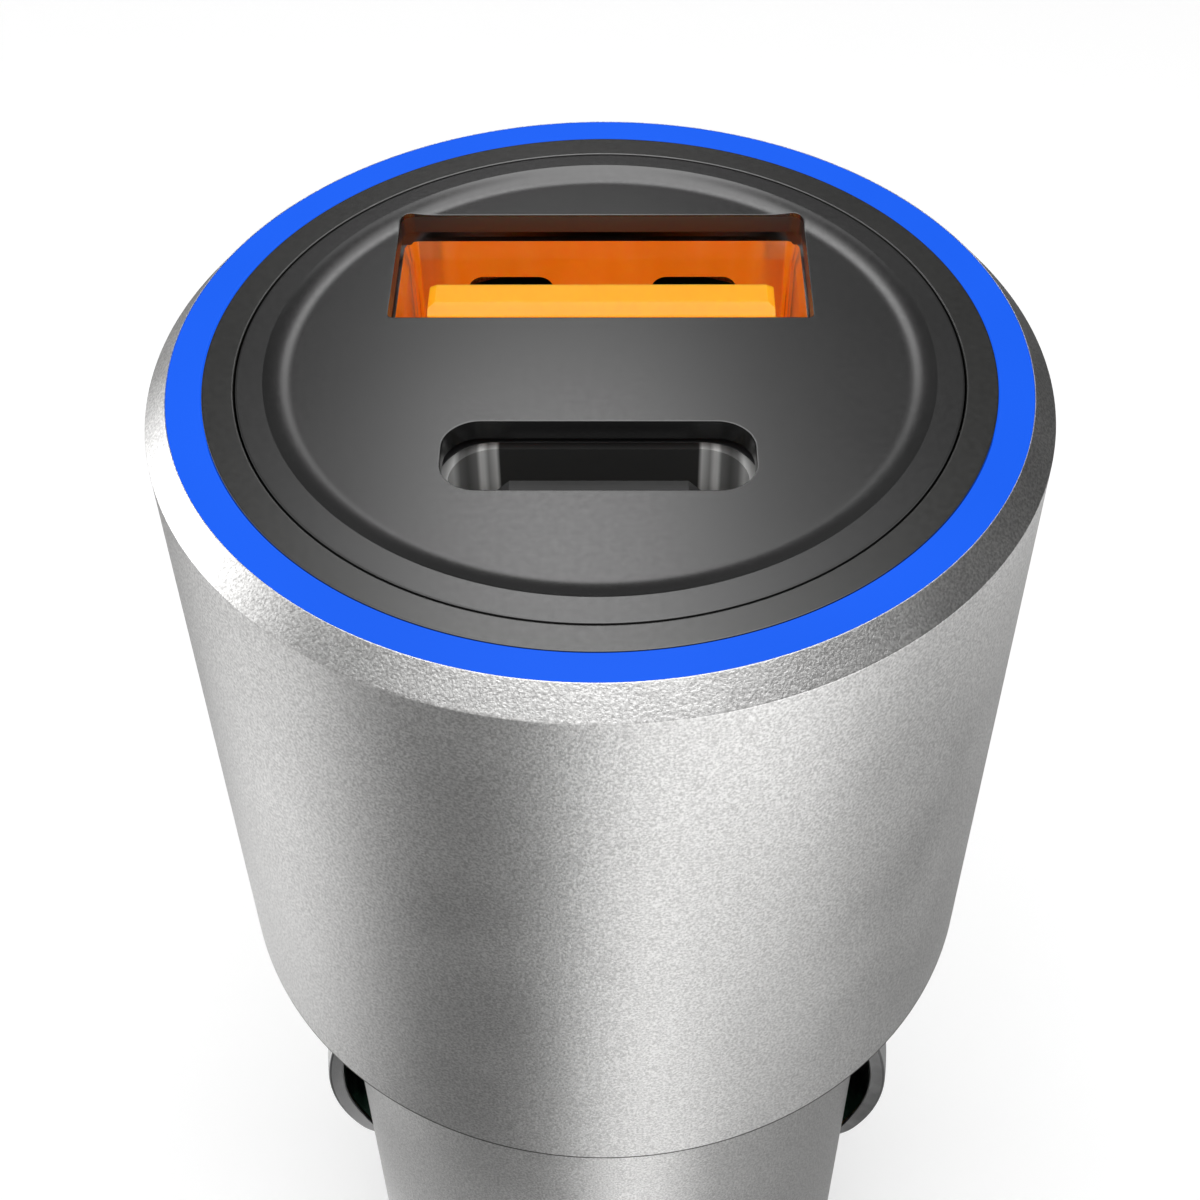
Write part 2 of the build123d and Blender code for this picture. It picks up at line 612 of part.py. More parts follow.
def make_usb_a_shell():
    """Folded sheet shell with a flared mouth, four spring fingers in windows and board legs."""
    shell = flared_bar(USB_A_SHEET) - flared_bar(0)
    z_top = USB_A_FRONT_Z - USB_A_WINDOW_SETBACK
    z_middle = z_top - USB_A_WINDOW_LENGTH / 2
    for x in (-USB_A_WINDOW_X, USB_A_WINDOW_X):
        window = RectangleRounded(USB_A_WINDOW_WIDTH, USB_A_WINDOW_LENGTH, USB_A_WINDOW_CORNER)
        cut = Plane.XZ * Pos(x, z_middle) * window
        shell -= Pos(0, USB_A_CENTRE_Y, 0) * extrude(cut, USB_A_INNER_HEIGHT, both=True)
    for x in (-USB_A_WINDOW_X, USB_A_WINDOW_X):
        for side in (-1, 1):
            shell += Pos(x, 0, 0) * spring_finger(side)
    for leg in usb_a_legs():
        shell += leg
    return shell


def tongue_y_span():
    """Limits of the USB-A tongue along Y, nearer to the board than to the far wall."""
    middle = USB_A_CENTRE_Y - USB_A_TONGUE_OFFSET
    return middle - USB_A_TONGUE_THICKNESS / 2, middle + USB_A_TONGUE_THICKNESS / 2


def usb_a_tongue(z_low):
    """Tongue with a level front, bevelled ends and a bevel and a steeper nose towards the board."""
    y_low, y_high = tongue_y_span()
    front = USB_A_FRONT_Z
    flat_low = y_high - USB_A_TONGUE_FLAT
    bevel_low = flat_low - USB_A_TONGUE_BEVEL
    bevel_z = front - USB_A_TONGUE_BEVEL_DROP
    side = make_face(Polyline(
        (y_low, z_low), (y_low, front - USB_A_TONGUE_NOSE), (bevel_low, bevel_z),
        (flat_low, front), (y_high, front), (y_high, z_low), close=True,
    ))
    half = USB_A_TONGUE_WIDTH / 2
    flat_end = half - USB_A_TONGUE_END
    end_z = front - USB_A_TONGUE_END_DROP
    outline = make_face(Polyline(
        (-half, z_low), (-half, end_z), (-flat_end, front),
        (flat_end, front), (half, end_z), (half, z_low), close=True,
    ))
    reach = abs(y_low) + abs(y_high)
    return extrude(Plane.YZ * side, half, both=True) & extrude(Plane.XZ * outline, reach, both=True)


def make_usb_a_insulator():
    """Orange block at the back of the shell with the tongue that carries the contacts."""
    y_high = tongue_y_span()[1]
    block_top = USB_A_BACK_Z + USB_A_BLOCK_LENGTH
    body = rounded_bar(
        USB_A_INNER_WIDTH - 2 * JOINT_GAP, USB_A_INNER_HEIGHT - 2 * JOINT_GAP,
        USB_A_INNER_CORNER, USB_A_CENTRE_Y, USB_A_BACK_Z, block_top,
    )
    body += usb_a_tongue(block_top)
    channel = USB_A_CONTACT_THICKNESS + 2 * JOINT_GAP
    for x in USB_A_CONTACT_X:
        half = USB_A_CONTACT_WIDTH / 2 + JOINT_GAP
        body -= block((x - half, x + half), (y_high, y_high + channel), (USB_A_BACK_Z, block_top))
    return body


def make_usb_a_contact(x):
    """Contact strip along the tongue, with a bowed crown in front and a tail down to the board."""
    y_face = tongue_y_span()[1] + JOINT_GAP / 2
    thick = USB_A_CONTACT_THICKNESS
    front = USB_A_FRONT_Z - USB_A_CONTACT_SETBACK
    flat_top = USB_A_BACK_Z + USB_A_BLOCK_LENGTH
    tail_z = USB_A_BACK_Z - USB_A_TAIL_DROP
    crown_middle = (front + flat_top) / 2
    upper = ThreePointArc(
        (y_face + thick, flat_top), (y_face + USB_A_CONTACT_CROWN, crown_middle),
        (y_face + thick, front),
    )
    lower = ThreePointArc(
        (y_face, flat_top), (y_face + USB_A_CONTACT_CROWN - thick, crown_middle),
        (y_face, front),
    )
    strip = make_face([upper, lower, Line(upper @ 0, lower @ 0), Line(upper @ 1, lower @ 1)])
    tail = Polyline(
        (y_face, flat_top), (y_face, tail_z + thick), (MAIN_FACE_Y, tail_z + thick),
        (MAIN_FACE_Y, tail_z), (y_face + thick, tail_z), (y_face + thick, flat_top), close=True,
    )
    profile = strip + make_face(tail)
    return Pos(x, 0, 0) * extrude(Plane.YZ * profile, USB_A_CONTACT_WIDTH / 2, both=True)


def make_usb_c_shell():
    """Seamless sheet shell with full round ends and legs into its board."""
    outer = stadium_bar(
        USB_C_INNER_WIDTH + 2 * USB_C_SHEET, USB_C_INNER_HEIGHT + 2 * USB_C_SHEET,
        USB_C_CENTRE_Y, USB_C_BACK_Z, USB_C_FRONT_Z,
    )
    inner = stadium_bar(
        USB_C_INNER_WIDTH, USB_C_INNER_HEIGHT, USB_C_CENTRE_Y, USB_C_BACK_Z, USB_C_FRONT_Z
    )
    shell = outer
    for leg in usb_c_legs():
        shell += leg
    return shell - inner


def make_usb_c_tongue():
    """Black block at the back of the shell with the thin tongue in its middle."""
    block_top = USB_C_BACK_Z + USB_C_BLOCK_LENGTH
    body = stadium_bar(
        USB_C_INNER_WIDTH - 2 * JOINT_GAP, USB_C_INNER_HEIGHT - 2 * JOINT_GAP,
        USB_C_CENTRE_Y, USB_C_BACK_Z, block_top,
    )
    front = USB_C_FRONT_Z - USB_C_TONGUE_SETBACK
    half = USB_C_TONGUE_THICKNESS / 2
    tongue = block(
        (-USB_C_TONGUE_WIDTH / 2, USB_C_TONGUE_WIDTH / 2),
        (USB_C_CENTRE_Y - half, USB_C_CENTRE_Y + half), (block_top, front),
    )
    front_ends = tongue.edges().filter_by(Axis.Y).group_by(Axis.Z)[-1]
    tongue = chamfer(front_ends, USB_C_TONGUE_BEVEL)
    body += tongue
    for side in (-1, 1):
        for x in usb_c_contact_places():
            body -= usb_c_contact(x, side, USB_C_BACK_Z, block_top, JOINT_GAP)
    return body


def usb_c_contact_places():
    """Positions of one row of contacts across the tongue."""
    first = -(USB_C_CONTACT_COUNT - 1) / 2 * USB_C_CONTACT_PITCH
    return [first + index * USB_C_CONTACT_PITCH for index in range(USB_C_CONTACT_COUNT)]


def usb_c_contact(x, side, z_low, z_high, grow=0.0):
    """Flat contact on one face of the tongue, side -1 or +1 along Y, or its channel."""
    face = USB_C_CENTRE_Y + side * USB_C_TONGUE_THICKNESS / 2
    half = USB_C_CONTACT_WIDTH / 2 + grow
    reach = face + side * (USB_C_CONTACT_THICKNESS + grow)
    return block((x - half, x + half), (face, reach), (z_low, z_high))


def make_usb_c_contact_row(side):
    """Row of flat contacts on one face of the tongue, with their tails behind the block."""
    front = USB_C_FRONT_Z - USB_C_TONGUE_SETBACK - USB_C_CONTACT_SETBACK
    return [usb_c_contact(x, side, USB_C_BACK_Z - USB_C_TAIL, front) for x in usb_c_contact_places()]


def make_main_board():
    """Wide board in the head whose tail runs down the stem to the centre terminal."""
    y_span = (MAIN_BACK_Y, MAIN_FACE_Y)
    board = block((-MAIN_HALF_WIDTH, MAIN_HALF_WIDTH), y_span, (CARRIER_TOP_Z, BOARD_TOP_Z))
    board += block(
        (-MAIN_TAIL_HALF_WIDTH, MAIN_TAIL_HALF_WIDTH), y_span, (TERMINAL_TOP_Z, CARRIER_TOP_Z)
    )
    for slot in usb_a_legs(JOINT_GAP):
        board -= slot
    return board


def make_usb_c_board():
    """Small board behind the USB-C port."""
    board = block(
        (-USB_C_BOARD_HALF_WIDTH, USB_C_BOARD_HALF_WIDTH), (USB_C_FACE_Y, USB_C_BOARD_BACK_Y),
        (USB_C_BOARD_Z, BOARD_TOP_Z),
    )
    for slot in usb_c_legs(JOINT_GAP):
        board -= slot
    return board


def make_board_link(side):
    """Pin header that joins the two boards, side -1 or +1 along X."""
    z_middle = (USB_C_BOARD_Z + BOARD_TOP_Z) / 2
    z_span = (z_middle - LINK_HEADER_HEIGHT / 2, z_middle + LINK_HEADER_HEIGHT / 2)
    x_span = (side * (USB_C_BOARD_HALF_WIDTH - LINK_HEADER_WIDTH), side * USB_C_BOARD_HALF_WIDTH)
    return block(x_span, (USB_C_BOARD_BACK_Y, MAIN_BACK_Y), z_span)


def make_input_capacitor():
    """Can that lies along the stem beside the board, with two leads bent into the board."""
    z_low = INPUT_CAPACITOR_Z
    y_axis = MAIN_FACE_Y + CAPACITOR_BOARD_GAP + INPUT_CAPACITOR_RADIUS
    can = disc(INPUT_CAPACITOR_RADIUS, z_low, INPUT_CAPACITOR_TOP_Z, 0, y_axis)
    can = fillet(can.edges().filter_by(GeomType.CIRCLE), CAPACITOR_EDGE)
    radius = CAPACITOR_LEAD_RADIUS
    elbow_z = z_low - radius - CAPACITOR_LEAD_BEND
    for x in (-CAPACITOR_LEAD_PITCH / 2, CAPACITOR_LEAD_PITCH / 2):
        run = FilletPolyline(
            (x, y_axis, z_low), (x, y_axis, elbow_z), (x, MAIN_FACE_Y, elbow_z),
            radius=CAPACITOR_LEAD_BEND,
        )
        start = Plane(origin=(x, y_axis, z_low), z_dir=(0, 0, -1))
        can += sweep(start * Circle(radius), path=run)
    return can


def make_output_capacitor(x):
    """Round can that lies on its base on the main board, between the flange and the USB-A port."""
    z_low = CARRIER_TOP_Z + OUTPUT_CAPACITOR_GAP
    z_top = USB_A_BACK_Z - OUTPUT_CAPACITOR_GAP
    radius = OUTPUT_CAPACITOR_RADIUS
    base = block(
        (x - radius, x + radius), (MAIN_FACE_Y, MAIN_FACE_Y + CAPACITOR_BASE), (z_low, z_top)
    )
    return base + disc(radius, z_low, z_top, x, MAIN_FACE_Y + radius)


def carrier_rails():
    """Ribs inside the carrier that guide the edges of the board's tail."""
    bore = STEM_BORE - CARRIER_GAP - CARRIER_WALL
    z_span = (CARRIER_TOP_Z - CARRIER_FLANGE_THICKNESS - RAIL_LENGTH, CARRIER_TOP_Z)
    rails = []
    for side in (-1, 1):
        x_span = (side * (MAIN_TAIL_HALF_WIDTH - RAIL_WIDTH), side * (bore + CARRIER_WALL / 2))
        for y_span in (
            (MAIN_BACK_Y - RAIL_GAP - RAIL_WIDTH, MAIN_BACK_Y - RAIL_GAP),
            (MAIN_FACE_Y + RAIL_GAP, MAIN_FACE_Y + RAIL_GAP + RAIL_WIDTH),
        ):
            rails.append(block(x_span, y_span, z_span))
    return rails


def make_contact_carrier():
    """Plastic sleeve inside the stem with a flange on the shoulder, rails and contact windows."""
    outer = STEM_BORE - CARRIER_GAP
    bore = outer - CARRIER_WALL
    carrier = turned([
        (bore, NOSE_TOP_Z), (outer, NOSE_TOP_Z), (outer, SHOULDER_THICKNESS),
        (FLANGE_RADIUS, SHOULDER_THICKNESS), (FLANGE_RADIUS, CARRIER_TOP_Z), (bore, CARRIER_TOP_Z),
    ])
    for rail in carrier_rails():
        carrier += rail
    half_height = contact_half_height() + CONTACT_FOOT_LENGTH + CARRIER_WINDOW_END_GAP
    half_width = contact_half_width() + CARRIER_WINDOW_SIDE_GAP
    return carrier - window_pair(half_width, half_height, outer + CUT_THROUGH, WINDOW_CORNER)


def make_ground_tab():
    """Strip on the carrier's flange that joins the board's edge to the metal head."""
    z_span = (CARRIER_TOP_Z, CARRIER_TOP_Z + GROUND_TAB_THICKNESS)
    y_span = (MAIN_FACE_Y, MAIN_FACE_Y + GROUND_TAB_WIDTH)
    reach = math.sqrt(HEAD_BORE**2 - y_span[1] ** 2) - JOINT_GAP
    foot = block((MAIN_HALF_WIDTH - GROUND_TAB_WIDTH, reach), y_span, z_span)
    x_span = (MAIN_HALF_WIDTH - GROUND_TAB_WIDTH, MAIN_HALF_WIDTH)
    lug_y = (MAIN_FACE_Y, MAIN_FACE_Y + GROUND_TAB_THICKNESS)
    lug_z = (CARRIER_TOP_Z, CARRIER_TOP_Z + 2 * GROUND_TAB_WIDTH)
    return foot + block(x_span, lug_y, lug_z)


def make_nose_cap():
    """Black nose: a plug in the stem's end, a flange, a cone and a chamber for the tip."""
    flange = STEM_RADIUS - STEM_TAPER - NOSE_FLANGE_INSET
    flange_end = -STEM_LENGTH - NOSE_FLANGE_LENGTH
    tip_bore = TIP_RADIUS + TIP_SIDE_GAP
    floor_top = NOSE_END_Z + NOSE_FLOOR
    plug = STEM_BORE - NOSE_PLUG_GAP
    return turned([
        (NOSE_CAVITY_RADIUS, NOSE_TOP_Z), (plug, NOSE_TOP_Z), (plug, -STEM_LENGTH),
        (flange, -STEM_LENGTH), (flange, flange_end), (NOSE_END_RADIUS, NOSE_END_Z),
        (tip_bore, NOSE_END_Z), (tip_bore, floor_top), (NOSE_CAVITY_RADIUS, floor_top),
    ])


def make_centre_tip():
    """Plated tip with a domed end, a flange that stops it in the nose and a pin in the spring."""
    flange = NOSE_CAVITY_RADIUS - TIP_FLANGE_GAP
    pin_top = TIP_FLANGE_TOP_Z + TIP_PIN_LENGTH
    sphere = (TIP_RADIUS**2 + TIP_DOME**2) / (2 * TIP_DOME)
    half_turn = math.asin(TIP_RADIUS / sphere) / 2
    cap_middle = (sphere * math.sin(half_turn), TIP_END_Z + sphere * (1 - math.cos(half_turn)))
    shoulder = (TIP_RADIUS, TIP_END_Z + TIP_DOME)
    cap = ThreePointArc((0, TIP_END_Z), cap_middle, shoulder)
    rest = Polyline(
        shoulder, (TIP_RADIUS, TIP_SEAT_Z), (flange, TIP_SEAT_Z), (flange, TIP_FLANGE_TOP_Z),
        (TIP_PIN_RADIUS, TIP_FLANGE_TOP_Z), (TIP_PIN_RADIUS, pin_top), (0, pin_top),
        (0, TIP_END_Z),
    )
    profile = make_face([cap, rest])
    profile = fillet(profile.vertices().sort_by_distance(shoulder)[0], TIP_EDGE_RADIUS)
    return revolve(Plane.XZ * profile, Axis.Z)


def make_tip_spring():
    """Wire coil between the tip's flange and the centre terminal."""
    low = TIP_FLANGE_TOP_Z + SPRING_WIRE / 2 + SPRING_SEAT_GAP
    high = NOSE_TOP_Z - SPRING_WIRE / 2 - SPRING_SEAT_GAP
    path = Pos(0, 0, low) * Helix((high - low) / SPRING_TURNS, high - low, SPRING_RADIUS)
    section = Plane(origin=path @ 0, z_dir=path % 0) * Circle(SPRING_WIRE / 2)
    return sweep(section, path)


def make_positive_terminal():
    """Disc on top of the nose for the spring, with a lug soldered to the board's tail."""
    plate = disc(NOSE_CAVITY_RADIUS + TERMINAL_OVERLAP, NOSE_TOP_Z, TERMINAL_TOP_Z)
    lug = block(
        (-TERMINAL_LUG_HALF_WIDTH, TERMINAL_LUG_HALF_WIDTH),
        (MAIN_FACE_Y, MAIN_FACE_Y + TERMINAL_LUG_THICKNESS),
        (TERMINAL_TOP_Z, TERMINAL_TOP_Z + TERMINAL_LUG_HEIGHT),
    )
    return plate + lug


def power_inductor(x):
    """Shielded inductor on the back of the main board, between the flange and the small board."""
    height = POWER_INDUCTOR_TOP_Z - POWER_INDUCTOR_Z
    size = (POWER_INDUCTOR_WIDTH, POWER_INDUCTOR_DEPTH, height)
    return soldered(size, x, MAIN_BACK_Y, -1, POWER_INDUCTOR_Z, INDUCTOR_CORNER)


nodes = {
    "housing": make_housing(),
    "light_ring": make_light_ring(),
    "bezel_ring": make_bezel_ring(),
    "face_plate": make_face_plate(),
    "led_board": make_led_board(),
    "usb_a_shell": make_usb_a_shell(),
    "usb_a_insulator": make_usb_a_insulator(),
    "usb_c_shell": make_usb_c_shell(),
    "usb_c_tongue": make_usb_c_tongue(),
    "usb_c_contacts_near": make_usb_c_contact_row(-1),
    "usb_c_contacts_far": make_usb_c_contact_row(1),
    "main_board": make_main_board(),
    "usb_c_board": make_usb_c_board(),
    "board_link_left": make_board_link(-1),
    "board_link_right": make_board_link(1),
    "power_inductor_left": power_inductor(-POWER_INDUCTOR_X),
    "power_inductor_right": power_inductor(POWER_INDUCTOR_X),
    "filter_choke": soldered(
        FILTER_CHOKE_SIZE, 0, MAIN_BACK_Y, -1, FILTER_CHOKE_Z, INDUCTOR_CORNER
    ),
    "input_capacitor": make_input_capacitor(),
    "output_capacitor_left": make_output_capacitor(-OUTPUT_CAPACITOR_X),
    "output_capacitor_right": make_output_capacitor(OUTPUT_CAPACITOR_X),
    "power_chip": soldered(
        POWER_CHIP_SIZE, 0, MAIN_FACE_Y, 1, INPUT_CAPACITOR_TOP_Z + POWER_CHIP_RISE
    ),
    "port_chip": soldered(
        PORT_CHIP_SIZE, 0, USB_C_BOARD_BACK_Y, 1,
        (USB_C_BOARD_Z + BOARD_TOP_Z - PORT_CHIP_SIZE[2]) / 2,
    ),
    "input_fuse": soldered(FUSE_SIZE, 0, MAIN_BACK_Y, -1, FUSE_Z),
    "contact_carrier": make_contact_carrier(),
    "ground_tab": make_ground_tab(),
    "left_contact": side_contact(180),
    "right_contact": side_contact(0),
    "nose_cap": make_nose_cap(),
    "centre_tip": make_centre_tip(),
    "tip_spring": make_tip_spring(),
    "positive_terminal": make_positive_terminal(),
}
for number, angle in enumerate(LIGHT_ANGLES, start=1):
    nodes[f"led_{number}"] = make_led(angle)
for number, x in enumerate(USB_A_CONTACT_X, start=1):
    nodes[f"usb_a_contact_{number}"] = make_usb_a_contact(x)
for number, x in enumerate(CERAMIC_X, start=1):
    nodes[f"ceramic_capacitor_{number}"] = soldered(
        CERAMIC_SIZE, x, MAIN_BACK_Y, -1, CERAMIC_Z
    )

os.makedirs("parts", exist_ok=True)
for name, shape in nodes.items():
    piece = Compound(children=shape) if isinstance(shape, list) else shape
    export_step(piece, f"parts/{name}.step")
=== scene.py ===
import bmesh
import bpy
import numpy as np
from mathutils import Matrix, Vector
from mathutils.geometry import delaunay_2d_cdt


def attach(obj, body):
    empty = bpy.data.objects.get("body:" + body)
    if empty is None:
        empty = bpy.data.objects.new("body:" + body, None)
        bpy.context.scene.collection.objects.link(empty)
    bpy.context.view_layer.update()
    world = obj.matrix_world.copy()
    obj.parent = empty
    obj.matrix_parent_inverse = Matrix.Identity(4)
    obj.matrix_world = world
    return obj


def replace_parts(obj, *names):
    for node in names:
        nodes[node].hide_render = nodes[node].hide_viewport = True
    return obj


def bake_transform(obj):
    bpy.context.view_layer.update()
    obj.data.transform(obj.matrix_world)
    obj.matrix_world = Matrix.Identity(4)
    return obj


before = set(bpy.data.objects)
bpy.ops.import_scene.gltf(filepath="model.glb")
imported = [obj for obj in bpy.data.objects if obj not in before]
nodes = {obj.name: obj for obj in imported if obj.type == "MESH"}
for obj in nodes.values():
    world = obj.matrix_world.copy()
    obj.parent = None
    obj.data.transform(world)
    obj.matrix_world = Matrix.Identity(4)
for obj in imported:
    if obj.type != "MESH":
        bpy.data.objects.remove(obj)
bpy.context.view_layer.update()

# Car charger plug: blasted metal head and stem, blue light ring, black face with two USB ports
# Sizes are in millimetres, as in the part's source, and become metres when a mesh is made

MM = 0.001
TAU = 2 * np.pi

# Head and stem
HEAD_TOP = 23.0
HEAD_RADIUS = 12.94
RIM_RADIUS = 12.27
RIM_DOWN = 0.76
SEAT_RADIUS = 12.25
LEDGE = 20.9
HEAD_BORE = 11.6
HEAD_CHAMFER = 0.3
SHOULDER = 1.8
STEM_RADIUS = 10.4
STEM_END_RADIUS = 10.32
STEM_BORE = 9.3
STEM_TOP = 0.4
STEM_END = -26.0
STEM_CHAMFER = 0.4
STEM_SEAT_END = -8.4
WINDOW = (2.447, 5.44, 0.4)

# Rings and face
RING_INNER = 11.28
RING_OUTER = 12.235
BEZEL_INNER = 10.36
BEZEL_OUTER = 11.25
PLATE_RADIUS = 10.31
DISH_RIM = 9.57
DISH_FLOOR_EDGE = 8.78
DISH_DEPTH = 0.2
DISH_Y = 0.16
OPENING_SHIFT = -0.14
PLATE_UNDER = 22.16
FLANGE = (9.5, 11.5, 19.4, 22.3)

# Ports: holes and tubes are half width, half height and corner
USB_A_Y = 4.85
USB_A_HOLE = (12.52 / 2, 5.14 / 2, 0.4)
USB_A_NEAR_CORNER = 0.15
USB_A_TUBE = (12.24 / 2, 4.92 / 2, 0.35)
USB_A_FLARE = 0.12
USB_A_MOUTH = 0.6
USB_A_SHEET = 0.25
USB_A_WINDOW = (1.38, 2.9, 0.5)
USB_A_WINDOW_X = 2.95
USB_A_WINDOW_DOWN = 1.3
FINGER_BOW = 0.35
FINGER_LENGTH = 4.7
FINGER_HALF = (0.95, 0.35)
USB_A_FRONT = 21.7
USB_A_BACK = 8.3
USB_C_Y = -3.74
USB_C_HOLE = (8.6 / 2, 2.78 / 2, 1.05)
USB_C_TUBE = (8.34 / 2, 2.56 / 2)
USB_C_SHEET = 0.3
USB_C_COLLAR = (1.1, 0.4)
USB_C_FRONT = 21.73
USB_C_BACK = 14.38

# Side contacts, nose, tip and spring
CONTACT_Z = -14.2
CONTACT_REACH = 11.58
CONTACT_HALF_SHEET = 0.25
CONTACT_EXTRA = 0.18
CONTACT_HALF_TURN = 10.9
CROWN_RADIUS, CROWN_END = 8.75, np.radians(26.0)
SHOULDER_RADIUS, LEG_LEAN = 2.25, np.radians(70.0)
FOOT_BEND = 0.5
FOOT_LENGTH = 1.4
FOOT_GAP = 0.08
NOSE_TOP, NOSE_END = -22.5, -31.8
NOSE_PLUG, NOSE_RADIUS, NOSE_NARROW, NOSE_MOUTH = 9.22, 10.17, 6.4, 3.55
CHAMBER_RADIUS, CHAMBER_END = 4.7, -30.2
TIP_RADIUS, TIP_DOME, TIP_END = 3.4, 1.5, -35.5
TIP_FLANGE_RADIUS, TIP_FLANGE_LOW, TIP_FLANGE_TOP = 4.5, -30.15, -29.15
PIN_RADIUS, PIN_TOP = 1.6, -25.95
SPRING_LOW, SPRING_TOP = -28.83, -22.82
SPRING_RADIUS, SPRING_WIRE_HALF, SPRING_TURNS = 3.3, 0.3, 5
FLOOR = -35.52


# Mesh tools

def make_piece(name, points, faces, body, material, sharp=30):
    """Mesh from points in millimetres and faces, its doubles merged, turned outwards and smooth.

    It rides on a body, unless body is None, as for a piece that lies between two bodies."""
    mesh = bpy.data.meshes.new(name)
    mesh.from_pydata((np.asarray(points, float) * MM).tolist(), [], faces)
    work = bmesh.new()
    work.from_mesh(mesh)
    bmesh.ops.remove_doubles(work, verts=work.verts, dist=1e-7)
    bmesh.ops.dissolve_degenerate(work, edges=work.edges, dist=1e-8)
    bmesh.ops.recalc_face_normals(work, faces=work.faces)
    work.to_mesh(mesh)
    work.free()
    mesh.shade_smooth()
    mesh.set_sharp_from_angle(angle=np.radians(sharp))
    mesh.materials.append(material)
    piece = bpy.data.objects.new(name, mesh)
    bpy.context.scene.collection.objects.link(piece)
    weigh = piece.modifiers.new("even_shading", "WEIGHTED_NORMAL")
    weigh.keep_sharp = True
    if body:
        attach(piece, body)
    return piece


def grid_faces(rows, columns, wrap_rows, wrap_columns):
    """Quads between neighbouring points of a grid of rows x columns, numbered row by row."""
    i = np.arange(rows if wrap_rows else rows - 1)[:, None]
    j = np.arange(columns if wrap_columns else columns - 1)[None, :]
    down, right = (i + 1) % rows, (j + 1) % columns
    corners = (i * columns + j, i * columns + right, down * columns + right, down * columns + j)
    return np.stack(corners, -1).reshape(-1, 4).tolist()


def rounded_profile(corners, closed=True, steps=5):
    """Profile through corners (a, b, rounding): each corner becomes an arc tangent to its sides.

    For a corner with the half angle h between its sides, the arc's centre lies on the bisector at
    rounding / sin h, and it touches both sides at rounding / tan h from the corner.
    """
    corners = np.asarray(corners, float)
    place, rounding = corners[:, :2], corners[:, 2].copy()
    back, ahead = np.roll(place, 1, 0) - place, np.roll(place, -1, 0) - place
    if not closed:
        rounding[[0, -1]] = 0
        back[0], ahead[-1] = -ahead[0], -back[-1]
    back /= np.linalg.norm(back, axis=1, keepdims=True)
    ahead /= np.linalg.norm(ahead, axis=1, keepdims=True)
    half = np.arccos(np.clip((back * ahead).sum(1), -1, 1)) / 2
    straight = half > np.pi / 2 - 1e-6
    rounding[straight] = 0
    bisector = back + ahead
    bisector[straight] = (1, 0)
    bisector /= np.linalg.norm(bisector, axis=1, keepdims=True)
    centre = place + bisector * (rounding / np.sin(half))[:, None]
    touch = (rounding / np.tan(np.clip(half, 1e-6, np.pi / 2 - 1e-9)))[:, None]
    start, end = place + back * touch - centre, place + ahead * touch - centre
    first = np.arctan2(start[:, 1], start[:, 0])
    turn = (np.arctan2(end[:, 1], end[:, 0]) - first + np.pi) % TAU - np.pi
    angle = first[:, None] + np.linspace(0, 1, steps) * turn[:, None]
    arcs = centre[:, None] + rounding[:, None, None] * np.stack((np.cos(angle), np.sin(angle)), -1)
    arcs[rounding == 0] = place[rounding == 0][:, None]
    points = arcs.reshape(-1, 2)
    step = np.linalg.norm(points - np.roll(points, 1, 0), axis=1)
    return points[step > 1e-6]


def steadied(profile, closed, gap=0.03):
    """Profile with a point just inside both ends of every long side, to keep its shading even."""
    ahead = np.roll(profile, -1, 0) - profile
    if not closed:
        ahead[-1] = 0
    length = np.maximum(np.linalg.norm(ahead, axis=1), 1e-9)
    shares = np.stack((0 * length, gap / length, 1 - gap / length), 1)
    kept = np.stack((length > 0, length > 5 * gap, length > 5 * gap), 1)
    return (profile[:, None] + ahead[:, None] * shares[..., None])[kept]


def turned(name, profile, body, material, closed=True, segments=288, sharp=30):
    """Surface of revolution: the point of parameters s, t is the profile's (r, z) at s, with
    x = r cos t and y = r sin t."""
    profile = steadied(np.asarray(profile, float), closed)
    t = np.arange(segments) / segments * TAU
    r, z = profile[:, 0][:, None], profile[:, 1][:, None]
    points = np.stack((r * np.cos(t), r * np.sin(t), z + 0 * t), -1).reshape(-1, 3)
    faces = grid_faces(len(profile), segments, closed, True)
    return make_piece(name, points, faces, body, material, sharp)


def to_rounded_box(x, y, box):
    """Distance from a rounded rectangle (half width, half height, corner), negative inside it."""
    across, up = np.abs(x) - box[0] + box[2], np.abs(y) - box[1] + box[2]
    outside = np.hypot(np.maximum(across, 0), np.maximum(up, 0))
    return outside + np.minimum(np.maximum(across, up), 0) - box[2]


def rounded_box_loop(box, steps=9):
    """Closed outline of a rounded rectangle (half width, half height, corner)."""
    a, b, corner = box
    return rounded_profile([(a, -b, corner), (a, b, corner), (-a, b, corner), (-a, -b, corner)],
                           steps=steps)


def divided(loop, longest):
    """Closed outline with points added evenly along its sides, none further apart than longest."""
    ahead = np.roll(loop, -1, 0) - loop
    count = np.maximum(np.ceil(np.linalg.norm(ahead, axis=1) / longest).astype(int), 1)
    side = np.repeat(np.arange(len(loop)), count)
    place = np.arange(len(side)) - np.repeat(np.cumsum(count) - count, count)
    return loop[side] + ahead[side] * (place / count[side])[:, None]


def triangulated(loops, scattered, inside):
    """Triangles over flat points: closed loops stay edges, and inside(x, y) keeps or drops each."""
    flat = np.concatenate(loops + [scattered])
    edges, first = [], 0
    for loop in loops:
        number = np.arange(len(loop))
        edges += (np.stack((number, np.roll(number, -1)), 1) + first).tolist()
        first += len(loop)
    result = delaunay_2d_cdt([Vector(p) for p in flat], edges, [], 0, 1e-6)
    flat = np.array([tuple(p) for p in result[0]])
    faces = np.array(result[2])
    middle = flat[faces].mean(1)
    return flat, faces[inside(middle[:, 0], middle[:, 1])]


